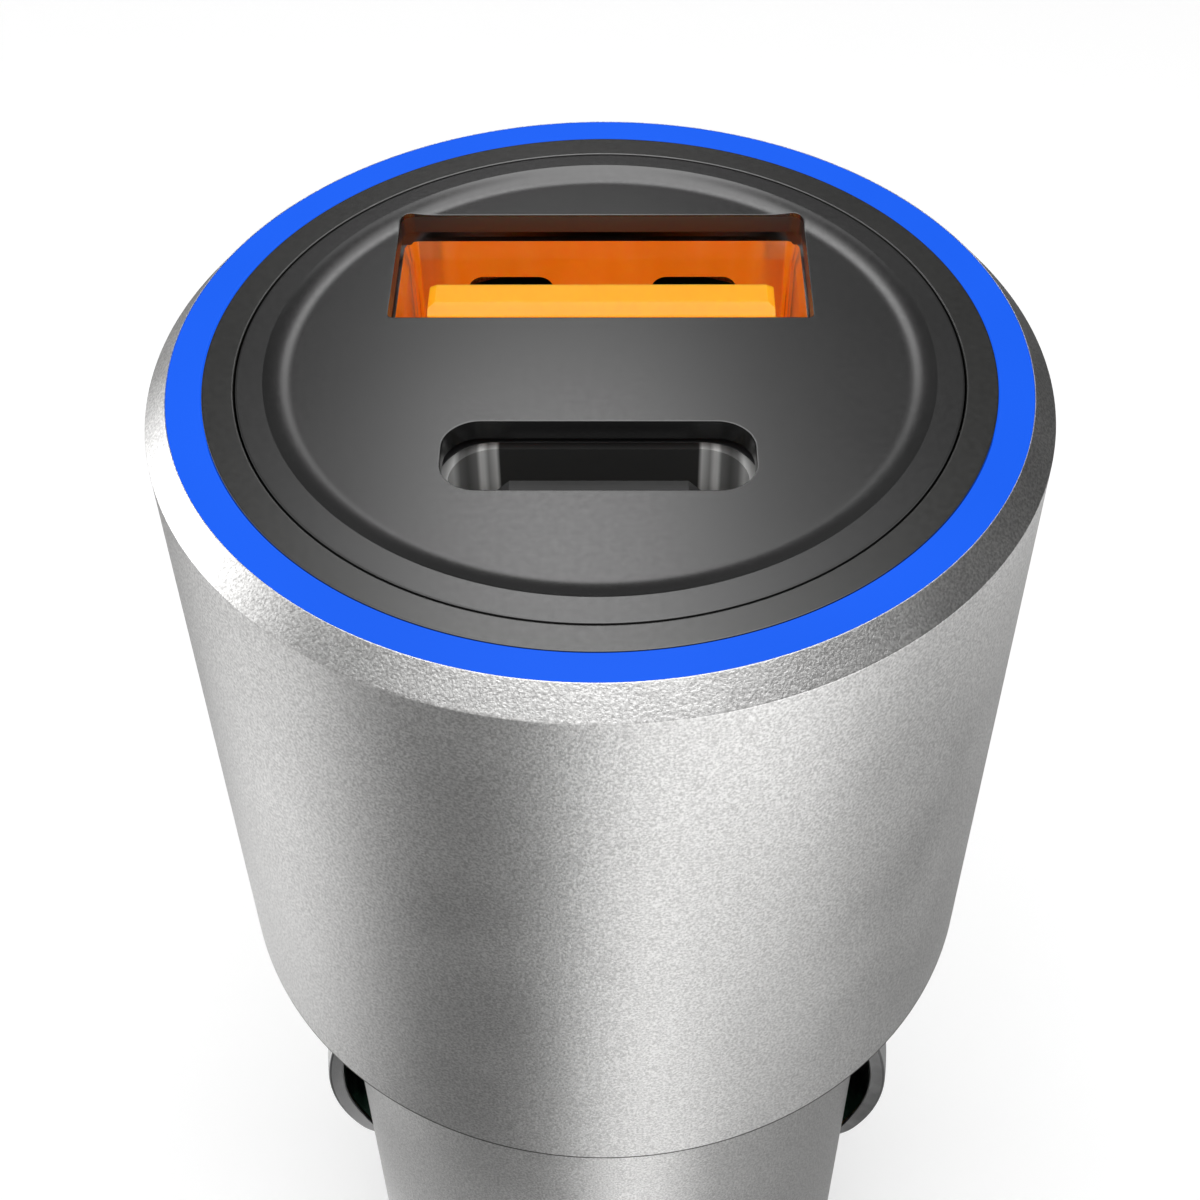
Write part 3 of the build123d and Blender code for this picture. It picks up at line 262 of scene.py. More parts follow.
def rim_edges(faces):
    """Edges that belong to one triangle only, in their triangle's direction."""
    edges = np.concatenate((faces[:, [0, 1]], faces[:, [1, 2]], faces[:, [2, 0]]))
    key = np.sort(edges, 1)
    _, index, count = np.unique(key, axis=0, return_index=True, return_counts=True)
    return edges[index[count == 1]]


def slab(name, flat, faces, front, back, body, material, sharp=30):
    """Closed slab over a flat triangulation: its front and its back are functions of the two flat
    parameters, points that meet in space become one, and a wall joins both along every rim edge."""
    outer, inner = front(*flat.T), back(*flat.T)
    _, kept, number = np.unique(np.round(outer, 5), axis=0, return_index=True, return_inverse=True)
    faces, count = number.ravel()[faces], len(kept)
    rim = rim_edges(faces)
    wall = np.stack((rim[:, 1], rim[:, 0], rim[:, 0] + count, rim[:, 1] + count), 1)
    points = np.concatenate((outer[kept], inner[kept]))
    sides = faces.tolist() + (faces[:, ::-1] + count).tolist() + wall.tolist()
    return make_piece(name, points, sides, body, material, sharp)


def edge_drop(distance, rounding):
    """Depth of a quarter-round edge: the full rounding at distance 0, nothing from rounding on."""
    inner = np.clip(rounding - distance, 0, rounding)
    return rounding - np.sqrt(np.maximum(rounding ** 2 - inner ** 2, 0))


# Material tools

def new_material(name):
    """Node material with its nodes, its links, its shader and the Object coordinates."""
    material = bpy.data.materials.new(name)
    material.use_nodes = True
    tree = material.node_tree
    shader = tree.nodes["Principled BSDF"]
    place = tree.nodes.new("ShaderNodeTexCoord").outputs["Object"]
    return material, tree, shader, place


def axes(tree):
    """X, Y and Z of the Object coordinates, in metres."""
    place = tree.nodes.new("ShaderNodeTexCoord").outputs["Object"]
    parts = tree.nodes.new("ShaderNodeSeparateXYZ")
    tree.links.new(place, parts.inputs["Vector"])
    return [parts.outputs[axis] for axis in "XYZ"]


def worked_out(tree, operation, *values):
    """Result of a maths node on one or two values."""
    node = tree.nodes.new("ShaderNodeMath")
    node.operation = operation
    for number, value in enumerate(values):
        tree.links.new(value, node.inputs[number])
    return node.outputs["Value"]


def tone_down(tree, shader, tone):
    """Multiplies the shader's linked colour by a tone."""
    both = tree.nodes.new("ShaderNodeVectorMath")
    both.operation = "MULTIPLY"
    tree.links.new(shader.inputs["Base Color"].links[0].from_socket, both.inputs[0])
    tree.links.new(tone, both.inputs[1])
    tree.links.new(both.outputs["Vector"], shader.inputs["Base Color"])


def noise(tree, place, scale, detail=3.0, roughness=0.5):
    """Noise over Object coordinates; scale is the number of grains per metre."""
    grains = tree.nodes.new("ShaderNodeTexNoise")
    grains.inputs["Scale"].default_value = scale
    grains.inputs["Detail"].default_value = detail
    grains.inputs["Roughness"].default_value = roughness
    tree.links.new(place, grains.inputs["Vector"])
    return grains.outputs["Fac"]


def ramp(tree, value, stops):
    """Colour ramp through stops (position, colour)."""
    node = tree.nodes.new("ShaderNodeValToRGB")
    elements = node.color_ramp.elements
    while len(elements) < len(stops):
        elements.new(0.5)
    for element, (position, colour) in zip(elements, stops):
        element.position = position
        element.color = (*colour, 1)
    tree.links.new(value, node.inputs["Fac"])
    return node.outputs["Color"]


def span(tree, value, low, high, to_low, to_high):
    """Value mapped from one span onto another, held at the ends."""
    node = tree.nodes.new("ShaderNodeMapRange")
    for number, setting in enumerate((low, high, to_low, to_high)):
        node.inputs[number + 1].default_value = setting
    tree.links.new(value, node.inputs["Value"])
    return node.outputs["Result"]


def bump(tree, height, distance, strength):
    """Bump from a height, its distance in metres."""
    node = tree.nodes.new("ShaderNodeBump")
    node.inputs["Distance"].default_value = distance
    node.inputs["Strength"].default_value = strength
    tree.links.new(height, node.inputs["Height"])
    return node.outputs["Normal"]


def blasted_metal():
    """Fine blasted metal: bright grains of about 0.1 mm over a satin ground, with a painted shadow,
    a thin dark line round the head's lower edge, a ramp over the heights 0 to 1 mm."""
    material, tree, shader, place = new_material("blasted_metal")
    shader.inputs["Metallic"].default_value = 1.0
    grain = noise(tree, place, 12500, 2.0, 0.6)
    cloud = noise(tree, place, 300, 2.0)
    colour = ramp(tree, grain, [(0.35, (0.50, 0.495, 0.49)), (0.65, (0.82, 0.815, 0.805))])
    tree.links.new(colour, shader.inputs["Base Color"])
    # Painted shadow: a dark band from 0.285 to 0.37 mm up stands in for shade at the head's lower
    # edge
    unshaded, painted_shadow = (1, 1, 1), (0.1, 0.1, 0.09)
    share = span(tree, axes(tree)[2], 0, 0.001, 0, 1)
    tone_down(tree, shader, ramp(tree, share, [(0.27, unshaded), (0.285, painted_shadow),
                                               (0.37, painted_shadow), (0.385, unshaded)]))
    tree.links.new(span(tree, cloud, 0.3, 0.7, 0.33, 0.38), shader.inputs["Roughness"])
    tree.links.new(bump(tree, grain, 0.00001, 0.9), shader.inputs["Normal"])
    return material


def satin_plastic(name, dark, light, rough_low, rough_high, grain=5000, depth=0.000004, gloss=1.5):
    """Moulded plastic with a fine satin texture and slightly uneven gloss, gloss its index."""
    material, tree, shader, place = new_material(name)
    shader.inputs["IOR"].default_value = gloss
    fine = noise(tree, place, grain, 3.0)
    cloud = noise(tree, place, 250, 2.0)
    colour = ramp(tree, cloud, [(0.3, dark), (0.7, light)])
    tree.links.new(colour, shader.inputs["Base Color"])
    tree.links.new(span(tree, fine, 0.3, 0.7, rough_low, rough_high), shader.inputs["Roughness"])
    tree.links.new(bump(tree, fine, depth, 0.5), shader.inputs["Normal"])
    return material


def translucent_with_painted_glow(material, reach, scale, glow, strength):
    """Translucent plastic: light spreads inside it, reach per colour times scale in metres, and a
    painted glow of the colour glow shines from it, none below 10 mm, rising to full at 12 mm and
    above."""
    tree = material.node_tree
    shader = tree.nodes["Principled BSDF"]
    shader.inputs["Emission Color"].default_value = (*glow, 1)
    # Painted glow: this emission stands in for light falling on the plastic
    painted_glow_strength = span(tree, axes(tree)[2], 0.010, 0.012, 0, strength)
    tree.links.new(painted_glow_strength, shader.inputs["Emission Strength"])
    shader.inputs["Specular IOR Level"].default_value = 0.25
    shader.inputs["Subsurface Weight"].default_value = 1.0
    shader.inputs["Subsurface Radius"].default_value = reach
    shader.inputs["Subsurface Scale"].default_value = scale


def smooth_metal(name, dark, light, rough_low, rough_high, streaks=(1, 1, 1)):
    """Drawn or plated metal with faint streaks; streaks stretches its pattern along an axis."""
    material, tree, shader, place = new_material(name)
    shader.inputs["Metallic"].default_value = 1.0
    stretch = tree.nodes.new("ShaderNodeMapping")
    stretch.inputs["Scale"].default_value = streaks
    tree.links.new(place, stretch.inputs["Vector"])
    lines = noise(tree, stretch.outputs["Vector"], 1500, 3.0)
    colour = ramp(tree, lines, [(0.3, dark), (0.7, light)])
    tree.links.new(colour, shader.inputs["Base Color"])
    tree.links.new(span(tree, lines, 0.3, 0.7, rough_low, rough_high), shader.inputs["Roughness"])
    tree.links.new(bump(tree, lines, 0.000002, 0.4), shader.inputs["Normal"])
    return material


def dull_walls(material):
    """Roughens the large port's moulded walls, below the face and behind its middle, which the
    mould leaves without polish."""
    tree = material.node_tree
    shader = tree.nodes["Principled BSDF"]
    _, y, z = axes(tree)
    below, behind = span(tree, z, 0.0227, 0.02278, 0.45, 0), span(tree, y, 0, 0.001, 0, 1)
    dull = worked_out(tree, "MULTIPLY", below, behind)
    satin = shader.inputs["Roughness"].links[0].from_socket
    tree.links.new(worked_out(tree, "MAXIMUM", satin, dull), shader.inputs["Roughness"])


def cut_strip():
    """Plated strip whose cut sides are darker than its rolled faces. A cut side stands at the fixed
    turn of 10.9 degrees, so the tone is a ramp over y / x from 0.18 to 0.2."""
    material = smooth_metal("contact_chrome", (0.72, 0.72, 0.72), (0.84, 0.84, 0.84), 0.10, 0.18)
    tree = material.node_tree
    shader = tree.nodes["Principled BSDF"]
    x, y, _ = axes(tree)
    lean = worked_out(tree, "ABSOLUTE", worked_out(tree, "DIVIDE", y, x))
    share = span(tree, lean, 0.18, 0.2, 0, 1)
    tone_down(tree, shader, ramp(tree, share, [(0.35, (1, 1, 1)), (0.5, (0.34, 0.34, 0.34))]))
    return material


def shell_with_painted_light():
    """Drawn shell of the small port: painted shade on its flat sides and painted highlights as
    bright streaks along its round ends. The streaks are stops over the distance from the middle, 0
    to 5 mm."""
    material, tree, shader, place = new_material("shell_with_painted_light")
    shader.inputs["Metallic"].default_value = 0.4
    share = span(tree, worked_out(tree, "ABSOLUTE", axes(tree)[0]), 0, 0.005, 0, 1)
    # Painted light: the tone 0.05 on the flat sides is painted shade, the bright stops are painted
    # highlights
    painted_streaks = ((0, 0.05), (0.56, 0.05), (0.58, 0.9), (0.625, 0.45), (0.65, 1.0), (0.67, 1.0),
             (0.69, 0.3), (0.74, 0.15), (0.78, 0.25), (0.81, 0.8), (0.85, 0.5), (1, 0.6))
    colour = ramp(tree, share, [(stop, (v, v, 0.99 * v)) for stop, v in painted_streaks])
    tree.links.new(colour, shader.inputs["Base Color"])
    lines = noise(tree, place, 2500, 3.0)
    tree.links.new(span(tree, lines, 0.3, 0.7, 0.36, 0.44), shader.inputs["Roughness"])
    tree.links.new(bump(tree, lines, 0.000002, 0.4), shader.inputs["Normal"])
    return material


def lit_ring():
    """Blue ring lit from behind: an even blue glow under a clear smooth face."""
    material, tree, shader, place = new_material("blue_light")
    shader.inputs["Base Color"].default_value = (0.003, 0.015, 0.08, 1)
    shader.inputs["Roughness"].default_value = 0.35
    shader.inputs["Specular IOR Level"].default_value = 0.05
    cloud = noise(tree, place, 150, 1.0)
    glow = ramp(tree, cloud, [(0.3, (0.008, 0.106, 0.82)), (0.7, (0.010, 0.114, 0.88))])
    tree.links.new(glow, shader.inputs["Emission Color"])
    shader.inputs["Emission Strength"].default_value = 1.0
    return material


METAL = blasted_metal()
FACE_BLACK = satin_plastic("face_black", (0.010, 0.010, 0.010), (0.014, 0.014, 0.014), 0.22, 0.26,
                           gloss=1.76, depth=0.000001)
BEZEL_BLACK = satin_plastic("bezel_black", (0.011, 0.011, 0.010), (0.015, 0.015, 0.014), 0.22, 0.27,
                            gloss=1.76, depth=0.000001)
dull_walls(FACE_BLACK)
BLUE_LIGHT = lit_ring()
SHELL_METAL = smooth_metal("port_shell_metal", (0.88, 0.87, 0.87), (0.97, 0.96, 0.96), 0.16, 0.24,
                           (1, 1, 0.2))
# Shell of the small port, with painted shade and painted highlights in its colour
SHELL_PAINTED_LIGHT = shell_with_painted_light()
SPRING_CHROME = cut_strip()
TIP_METAL = smooth_metal("tip_plating", (0.66, 0.64, 0.60), (0.78, 0.76, 0.72), 0.14, 0.24)
STEEL = smooth_metal("spring_steel", (0.42, 0.42, 0.43), (0.55, 0.55, 0.56), 0.25, 0.35)
BRASS = smooth_metal("terminal_brass", (0.70, 0.50, 0.22), (0.80, 0.60, 0.30), 0.22, 0.34)
GOLD = smooth_metal("contact_gold", (0.85, 0.60, 0.24), (0.95, 0.72, 0.34), 0.18, 0.26)
ORANGE = satin_plastic("orange_plastic", (0.98, 0.37, 0.008), (1.0, 0.41, 0.014), 0.30, 0.40, 2500)
# Painted glow on the orange insulator, standing in for light on its tongue
translucent_with_painted_glow(ORANGE, (1.0, 0.4, 0.08), 0.0012, (1.0, 0.16, 0.002), 0.32)
TONGUE_BLACK = satin_plastic("tongue_black", (0.018, 0.018, 0.018), (0.030, 0.030, 0.030), 0.3, 0.4)
CARRIER_BLACK = satin_plastic("carrier_black", (0.035, 0.035, 0.035), (0.05, 0.05, 0.05), 0.4, 0.5)
NOSE_BLACK = satin_plastic("nose_black", (0.016, 0.016, 0.016), (0.026, 0.026, 0.026), 0.38, 0.5)
BOARD_GREEN = satin_plastic("board_green", (0.010, 0.060, 0.030), (0.014, 0.085, 0.042), 0.3, 0.45)
CHIP_BLACK = satin_plastic("chip_black", (0.012, 0.012, 0.013), (0.022, 0.022, 0.023), 0.4, 0.55)
FERRITE = satin_plastic("ferrite_grey", (0.045, 0.045, 0.045), (0.075, 0.075, 0.075), 0.5, 0.65)
CAN_METAL = smooth_metal("capacitor_can", (0.60, 0.60, 0.61), (0.72, 0.72, 0.73), 0.25, 0.35)
CERAMIC = satin_plastic("ceramic_tan", (0.32, 0.22, 0.13), (0.40, 0.28, 0.17), 0.35, 0.5)
LED_WHITE = satin_plastic("led_white", (0.70, 0.70, 0.66), (0.80, 0.80, 0.76), 0.3, 0.4)


# Metal head and stem

def make_head():
    """Closed ring profile of the head: its side, both chamfers, the rings' seat and the bore."""
    profile = rounded_profile([
        (STEM_BORE, 0, 0), (HEAD_RADIUS - HEAD_CHAMFER, 0, 0.08), (HEAD_RADIUS, HEAD_CHAMFER, 0.02),
        (HEAD_RADIUS, HEAD_TOP - RIM_DOWN, 0.05), (RIM_RADIUS, HEAD_TOP, 0.01),
        (SEAT_RADIUS, HEAD_TOP, 0.005), (SEAT_RADIUS, LEDGE, 0), (HEAD_BORE, LEDGE, 0.05),
        (HEAD_BORE, SHOULDER, 0.1), (STEM_BORE, SHOULDER, 0.1),
    ])
    return turned("metal_head", profile, "main", METAL)


def make_stem():
    """Stem wall unrolled: u runs round it in millimetres at its radius and v along it, with both
    windows cut out; the outer radius tapers below the seat and rounds over at its rims."""
    length = TAU * STEM_RADIUS
    half_u = STEM_RADIUS * np.arcsin(WINDOW[0] / STEM_RADIUS)
    box = (half_u, WINDOW[1], WINDOW[2])
    middles = (length * 0.25, length * 0.75)
    lower = STEM_END + STEM_CHAMFER

    def window(u, v):
        """Distance from the nearer window's outline, negative inside it."""
        return np.minimum(*(to_rounded_box(u - m, v - CONTACT_Z, box) for m in middles))

    around = np.linspace(0, length, 217)
    levels = np.concatenate((
        [STEM_END, STEM_END + 0.15, lower, lower + 0.1], np.linspace(-24, STEM_TOP, 26),
    ))
    u, v = (g.ravel() for g in np.meshgrid(around, levels))
    clear = window(u, v) > 0.2
    loops = []
    for middle in middles:
        for grow in (0, 0.03, 0.07, 0.12):
            loop = rounded_box_loop([side + grow for side in box])
            loops.append(divided(loop, 0.3) + (middle, CONTACT_Z))
    flat, faces = triangulated(loops, np.stack((u, v), 1)[clear], lambda a, b: window(a, b) > 0)

    def wall(u, v, radius):
        """Unrolled point back on its circle: its angle is u over the stem's radius."""
        angle = u / STEM_RADIUS + np.pi / 2
        return np.stack((radius * np.cos(angle), radius * np.sin(angle), v), 1)

    def outside(u, v):
        """Tapered radius less the chamfer at the lower end and the rounding at the windows."""
        taper = np.clip((STEM_SEAT_END - v) / (STEM_SEAT_END - STEM_END), 0, 1)
        radius = STEM_RADIUS + (STEM_END_RADIUS - STEM_RADIUS) * taper
        radius = radius - np.clip(lower - v, 0, STEM_CHAMFER) - edge_drop(window(u, v), 0.1)
        return wall(u, v, radius)

    def inside(u, v):
        """Inner wall at the bore's radius."""
        return wall(u, v, STEM_BORE + 0 * u)

    return slab("metal_stem", flat, faces, outside, inside, "main", METAL)


# Rings and face

def make_rings():
    """Closed ring profiles of the light ring and the bezel, each with softened edges."""
    light = rounded_profile([
        (RING_INNER, LEDGE, 0), (RING_OUTER, LEDGE, 0),
        (RING_OUTER, HEAD_TOP, 0.02), (RING_INNER, HEAD_TOP, 0.02),
    ])
    bezel = rounded_profile([
        (BEZEL_INNER, LEDGE, 0), (BEZEL_OUTER, LEDGE, 0),
        (BEZEL_OUTER, HEAD_TOP, 0.03), (BEZEL_INNER, HEAD_TOP, 0.03),
    ])
    return (
        turned("glow_ring", light, "main", BLUE_LIGHT),
        turned("black_bezel", bezel, "main", BEZEL_BLACK),
    )


def to_port(x, y):
    """Distance from the nearer port opening in the face, negative inside it."""
    corner = np.where(y > USB_A_Y, USB_A_HOLE[2], USB_A_NEAR_CORNER)
    usb_a = to_rounded_box(x, y - USB_A_Y - OPENING_SHIFT, (*USB_A_HOLE[:2], corner))
    usb_c = to_rounded_box(x, y - USB_C_Y - OPENING_SHIFT, USB_C_HOLE)
    return np.minimum(usb_a, usb_c)


def dish_height(x, y):
    """Face height: level floor, a slope that is an arc level at its foot, and a level rim."""
    run, rise = DISH_RIM - DISH_FLOOR_EDGE, DISH_DEPTH
    arc = (run ** 2 + rise ** 2) / (2 * rise)
    along = np.clip(np.hypot(x, y - DISH_Y) - DISH_FLOOR_EDGE, 0, run)
    return HEAD_TOP - DISH_DEPTH + arc - np.sqrt(arc ** 2 - along ** 2)


def make_face():
    """Dished plate as a height over x and y, with both port openings and rounded edges, and its
    flange as a closed ring profile. Points lie closer where the slope meets the far corners of the
    large opening."""
    radii = np.concatenate((
        np.linspace(0.4, DISH_FLOOR_EDGE - 0.03, 20), np.linspace(DISH_FLOOR_EDGE, DISH_RIM, 13),
        [DISH_RIM + 0.02, DISH_RIM + 0.08, DISH_RIM + 0.3],
    ))
    turns = np.arange(288) / 288 * TAU
    circle = np.stack((np.cos(turns), np.sin(turns)), 1)
    scattered = (radii[:, None, None] * circle + (0, DISH_Y)).reshape(-1, 2)
    far_corner = np.arctan2(USB_A_Y + USB_A_HOLE[1] - 0.26, USB_A_HOLE[0])
    fan = far_corner + np.linspace(-0.12, 0.12, 61)
    slope = np.linspace(DISH_FLOOR_EDGE, DISH_RIM + 0.1, 29)[:, None, None]
    for turn in (fan, np.pi - fan):
        close = slope * np.stack((np.cos(turn), np.sin(turn)), 1) + (0, DISH_Y)
        scattered = np.concatenate((scattered, close.reshape(-1, 2)))
    scattered = scattered[to_port(*scattered.T) > 0.13]
    loops = [circle * (PLATE_RADIUS - inset) for inset in (0, 0.01, 0.03, 0.06)]
    for grow in (0, 0.005, 0.0125, 0.0225, 0.05, 0.11):
        a, b, corner = (side + grow for side in USB_A_HOLE)
        near = USB_A_NEAR_CORNER + grow
        corners = [(a, -b, near), (a, b, corner), (-a, b, corner), (-a, -b, near)]
        usb_a = rounded_profile(corners, steps=9)
        usb_c = [side + grow for side in USB_C_HOLE]
        loops.append(divided(usb_a, 0.15) + (0, USB_A_Y + OPENING_SHIFT))
        loops.append(divided(rounded_box_loop(usb_c, 33), 0.15) + (0, USB_C_Y + OPENING_SHIFT))
    flat, faces = triangulated(loops, scattered, lambda a, b: to_port(a, b) > 0)

    def front(x, y):
        """Dish height less the rounding at the openings and at the rim."""
        drop = edge_drop(to_port(x, y), 0.02) + edge_drop(PLATE_RADIUS - np.hypot(x, y), 0.03)
        return np.stack((x, y, dish_height(x, y) - drop), 1)

    def back(x, y):
        """Level underside."""
        return np.stack((x, y, PLATE_UNDER + 0 * x), 1)

    plate = slab("dished_face", flat, faces, front, back, "main", FACE_BLACK, 24)
    inner, outer, low, high = FLANGE
    profile = rounded_profile([
        (inner, low, 0), (outer, low, 0), (outer, LEDGE, 0), (PLATE_RADIUS, LEDGE, 0),
        (PLATE_RADIUS, high, 0), (inner, high, 0),
    ])
    return plate, turned("face_flange", profile, "main", FACE_BLACK)


# Connector shells

def tube_point(loop_length, outline, centre_y):
    """Function that carries a distance along a closed outline, a height and an offset outwards
    into space."""
    def place(u, v, offset):
        """Point of the outline at u, moved outwards by the offset, at the height v."""
        points = outline(u / loop_length, offset)
        return np.stack((points[:, 0], points[:, 1] + centre_y, v), 1)
    return place


def box_outline(box):
    """Closed rounded rectangle as a function of its share of the way round and an offset outwards.

    The share runs at the pace of the outline itself; each point moves out along the corner's or
    side's own direction."""
    base = divided(rounded_box_loop(box, 17), 0.2)
    ahead = np.roll(base, -1, 0) - base
    length = np.concatenate(([0], np.cumsum(np.linalg.norm(ahead, axis=1))))
    tangent = np.roll(base, -1, 0) - np.roll(base, 1, 0)
    normal = np.stack((tangent[:, 1], -tangent[:, 0]), 1)
    normal /= np.linalg.norm(normal, axis=1, keepdims=True)
    base, normal = np.vstack((base, base[:1])), np.vstack((normal, normal[:1]))

    def outline(share, offset):
        """Point at this share of the way round, moved outwards by the offset."""
        way = share * length[-1]
        spot = np.stack([np.interp(way, length, base[:, k]) for k in (0, 1)], 1)
        away = np.stack([np.interp(way, length, normal[:, k]) for k in (0, 1)], 1)
        return spot + away * np.asarray(offset)[..., None]

    return outline, length


def make_usb_a_shell():
    """Folded shell: a rounded box tube whose mouth flares, with four windows and their fingers."""
    outline, length = box_outline(USB_A_TUBE)
    place = tube_point(length[-1], outline, USB_A_Y)
    trial = 4000
    spots = outline(np.arange(trial + 1) / trial, 0)
    window_at = []
    places = [(x, side) for side in (-1, 1) for x in (-USB_A_WINDOW_X, USB_A_WINDOW_X)]
    for x, side in places:
        gap = np.hypot(spots[:, 0] - x, spots[:, 1] - side * USB_A_TUBE[1])
        window_at.append(length[-1] * np.argmin(gap) / trial)
    half_height = USB_A_WINDOW[1]
    window_z = USB_A_FRONT - USB_A_WINDOW_DOWN - half_height

    def window(u, v):
        """Distance from the nearest window's outline, negative inside it."""
        gaps = [to_rounded_box(u - m, v - window_z, USB_A_WINDOW) for m in window_at]
        return np.min(gaps, 0)

    bend = USB_A_FRONT - USB_A_MOUTH
    levels = np.concatenate((
        np.linspace(USB_A_BACK, bend - 0.2, 16), [bend - 0.03, bend, bend + 0.03, USB_A_FRONT],
    ))
    u, v = (g.ravel() for g in np.meshgrid(length, levels))
    clear = window(u, v) > 0.1
    loops = [divided(rounded_box_loop(USB_A_WINDOW), 0.2) + (m, window_z) for m in window_at]
    flat, faces = triangulated(loops, np.stack((u, v), 1)[clear], lambda a, b: window(a, b) > 0)

    def flare(v):
        """Offset of the mouth, which grows evenly from the bend to the front."""
        return USB_A_FLARE * np.clip((v - bend) / (USB_A_FRONT - bend), 0, 1)

    shell = slab(
        "usb_a_tube", flat, faces,
        lambda u, v: place(u, v, flare(v) + USB_A_SHEET),
        lambda u, v: place(u, v, flare(v)),
        "main", SHELL_METAL, 40,
    )
    fingers = [
        spring_finger(f"usb_a_finger_{number}", x, side, window_z - half_height)
        for number, (x, side) in enumerate(places, 1)
    ]
    return [shell] + fingers


def spring_finger(name, x, side, root):
    """Sheet finger from the back of its window: a flat strip whose middle bows inwards as one
    cosine wave, with its thickness carried along, and whose last fifth narrows."""
    s = np.linspace(0, 1, 25)
    bow = USB_A_TUBE[1] - FINGER_BOW * (1 - np.cos(TAU * s)) / 2
    z = root - 0.1 + s * FINGER_LENGTH
    half = FINGER_HALF[0] - FINGER_HALF[1] * np.clip((s - 0.8) / 0.2, 0, 1) ** 2
    rows = []
    for across, out in ((-1, 0), (1, 0), (1, USB_A_SHEET), (-1, USB_A_SHEET)):
        rows.append(np.stack((x + across * half, USB_A_Y + side * (bow + out), z), 1))
    points = np.stack(rows).reshape(-1, 3)
    count = len(s)
    faces = grid_faces(4, count, True, False)
    faces += [[0, count, 2 * count, 3 * count],
              [count - 1, 2 * count - 1, 3 * count - 1, 4 * count - 1]]
    return make_piece(name, points, faces, "main", SHELL_METAL, 40)


def make_usb_c_shell():
    """Seamless stadium tube, and the black collar round its front: each is a closed section that
    goes round the outline."""
    box = (*USB_C_TUBE, USB_C_TUBE[1] - 1e-4)
    outline, length = box_outline(box)
    wall = rounded_profile([
        (0, USB_C_BACK, 0), (USB_C_SHEET, USB_C_BACK, 0), (USB_C_SHEET, USB_C_FRONT, 0.02),
        (0, USB_C_FRONT, 0),
    ])
    wide, deep = USB_C_COLLAR
    collar = rounded_profile([
        (USB_C_SHEET, USB_C_FRONT - deep, 0), (wide, USB_C_FRONT - deep, 0),
        (wide, USB_C_FRONT, 0.05), (USB_C_SHEET, USB_C_FRONT, 0.03),
    ])
    place = tube_point(length[-1], outline, USB_C_Y)

    def carried(name, section, material):
        """Section (offset outwards, height) carried round the outline, by its length u."""
        u, out = np.meshgrid(length[:-1], section[:, 0])
        z = np.repeat(section[:, 1][:, None], len(length) - 1, 1)
        points = place(u.ravel(), z.ravel(), out.ravel())
        faces = grid_faces(len(section), len(length) - 1, True, True)
        return make_piece(name, points, faces, "main", material, 40)

    return (carried("usb_c_tube", wall, SHELL_PAINTED_LIGHT),
            carried("usb_c_collar", collar, CHIP_BLACK))


# Side contacts, nose and tip

def contact_line(shift):
    """Line of the bowed strip's upper half, shifted outwards from its middle: a crown arc, a
    shoulder arc up to the leg's lean, a straight leg, a bend back and a straight foot."""
    crown, lean = CROWN_END, LEG_LEAN
    crown_radius, shoulder_radius = CROWN_RADIUS + shift, SHOULDER_RADIUS + shift
    bend = FOOT_BEND - shift
    a = np.linspace(0, crown, 14)
    r = CONTACT_REACH - CROWN_RADIUS + crown_radius * np.cos(a)
    z = crown_radius * np.sin(a)
    a = np.linspace(crown, lean, 12)[1:]
    r = np.append(r, r[-1] + shoulder_radius * (np.cos(a) - np.cos(crown)))
    z = np.append(z, z[-1] + shoulder_radius * (np.sin(a) - np.sin(crown)))
    fall = CONTACT_REACH - (STEM_BORE - FOOT_GAP - CONTACT_HALF_SHEET)
    bent = CROWN_RADIUS * (1 - np.cos(crown)) + SHOULDER_RADIUS * (np.cos(crown) - np.cos(lean))
    leg = (fall - bent - FOOT_BEND * (1 - np.cos(lean))) / np.sin(lean)
    r, z = np.append(r, r[-1] - leg * np.sin(lean)), np.append(z, z[-1] + leg * np.cos(lean))
    a = np.linspace(lean, 0, 9)[1:]
    r = np.append(r, r[-1] + bend * (np.cos(lean) - np.cos(a)))
    z = np.append(z, z[-1] + bend * (np.sin(lean) - np.sin(a)))
    return np.append(r, r[-1]), np.append(z, z[-1] + FOOT_LENGTH)


def side_contact(name, body, middle):
    """Bowed spring strip: its closed profile in radius and height turned through twice the half
    turn, thicker on the inside of the bow from the radius 10 to 10.8 mm on."""
    r_out, z_out = contact_line(CONTACT_HALF_SHEET)
    r_in, z_in = contact_line(-CONTACT_HALF_SHEET)
    r_in = r_in - CONTACT_EXTRA * np.clip((r_in - 10.0) / 0.8, 0, 1)
    outer = np.stack((np.append(r_out[:0:-1], r_out), np.append(-z_out[:0:-1], z_out)), 1)
    inner = np.stack((np.append(r_in[:0:-1], r_in), np.append(-z_in[:0:-1], z_in)), 1)
    profile = np.vstack((outer, inner[::-1]))
    t = np.radians(middle) + np.radians(CONTACT_HALF_TURN) * np.linspace(-1, 1, 13)
    r, z = profile[:, 0][:, None], profile[:, 1][:, None] + CONTACT_Z
    points = np.stack((r * np.cos(t), r * np.sin(t), z + 0 * t), -1).reshape(-1, 3)
    faces = grid_faces(len(profile), len(t), True, False)
    ring = np.arange(len(profile)) * len(t)
    half = len(outer)
    k = np.arange(half - 1)
    for shift in (0, len(t) - 1):
        cap = np.stack((ring[k], ring[k + 1], ring[2 * half - 2 - k], ring[2 * half - 1 - k]), 1)
        faces += (cap + shift).tolist()
    piece = make_piece(name, points, faces, body, SPRING_CHROME, 40)
    soften = piece.modifiers.new("soft_edges", "BEVEL")
    soften.width = 0.11 * MM
    soften.segments = 3
    soften.limit_method = "ANGLE"
    soften.angle_limit = np.radians(50)
    piece.modifiers.move(1, 0)
    return piece


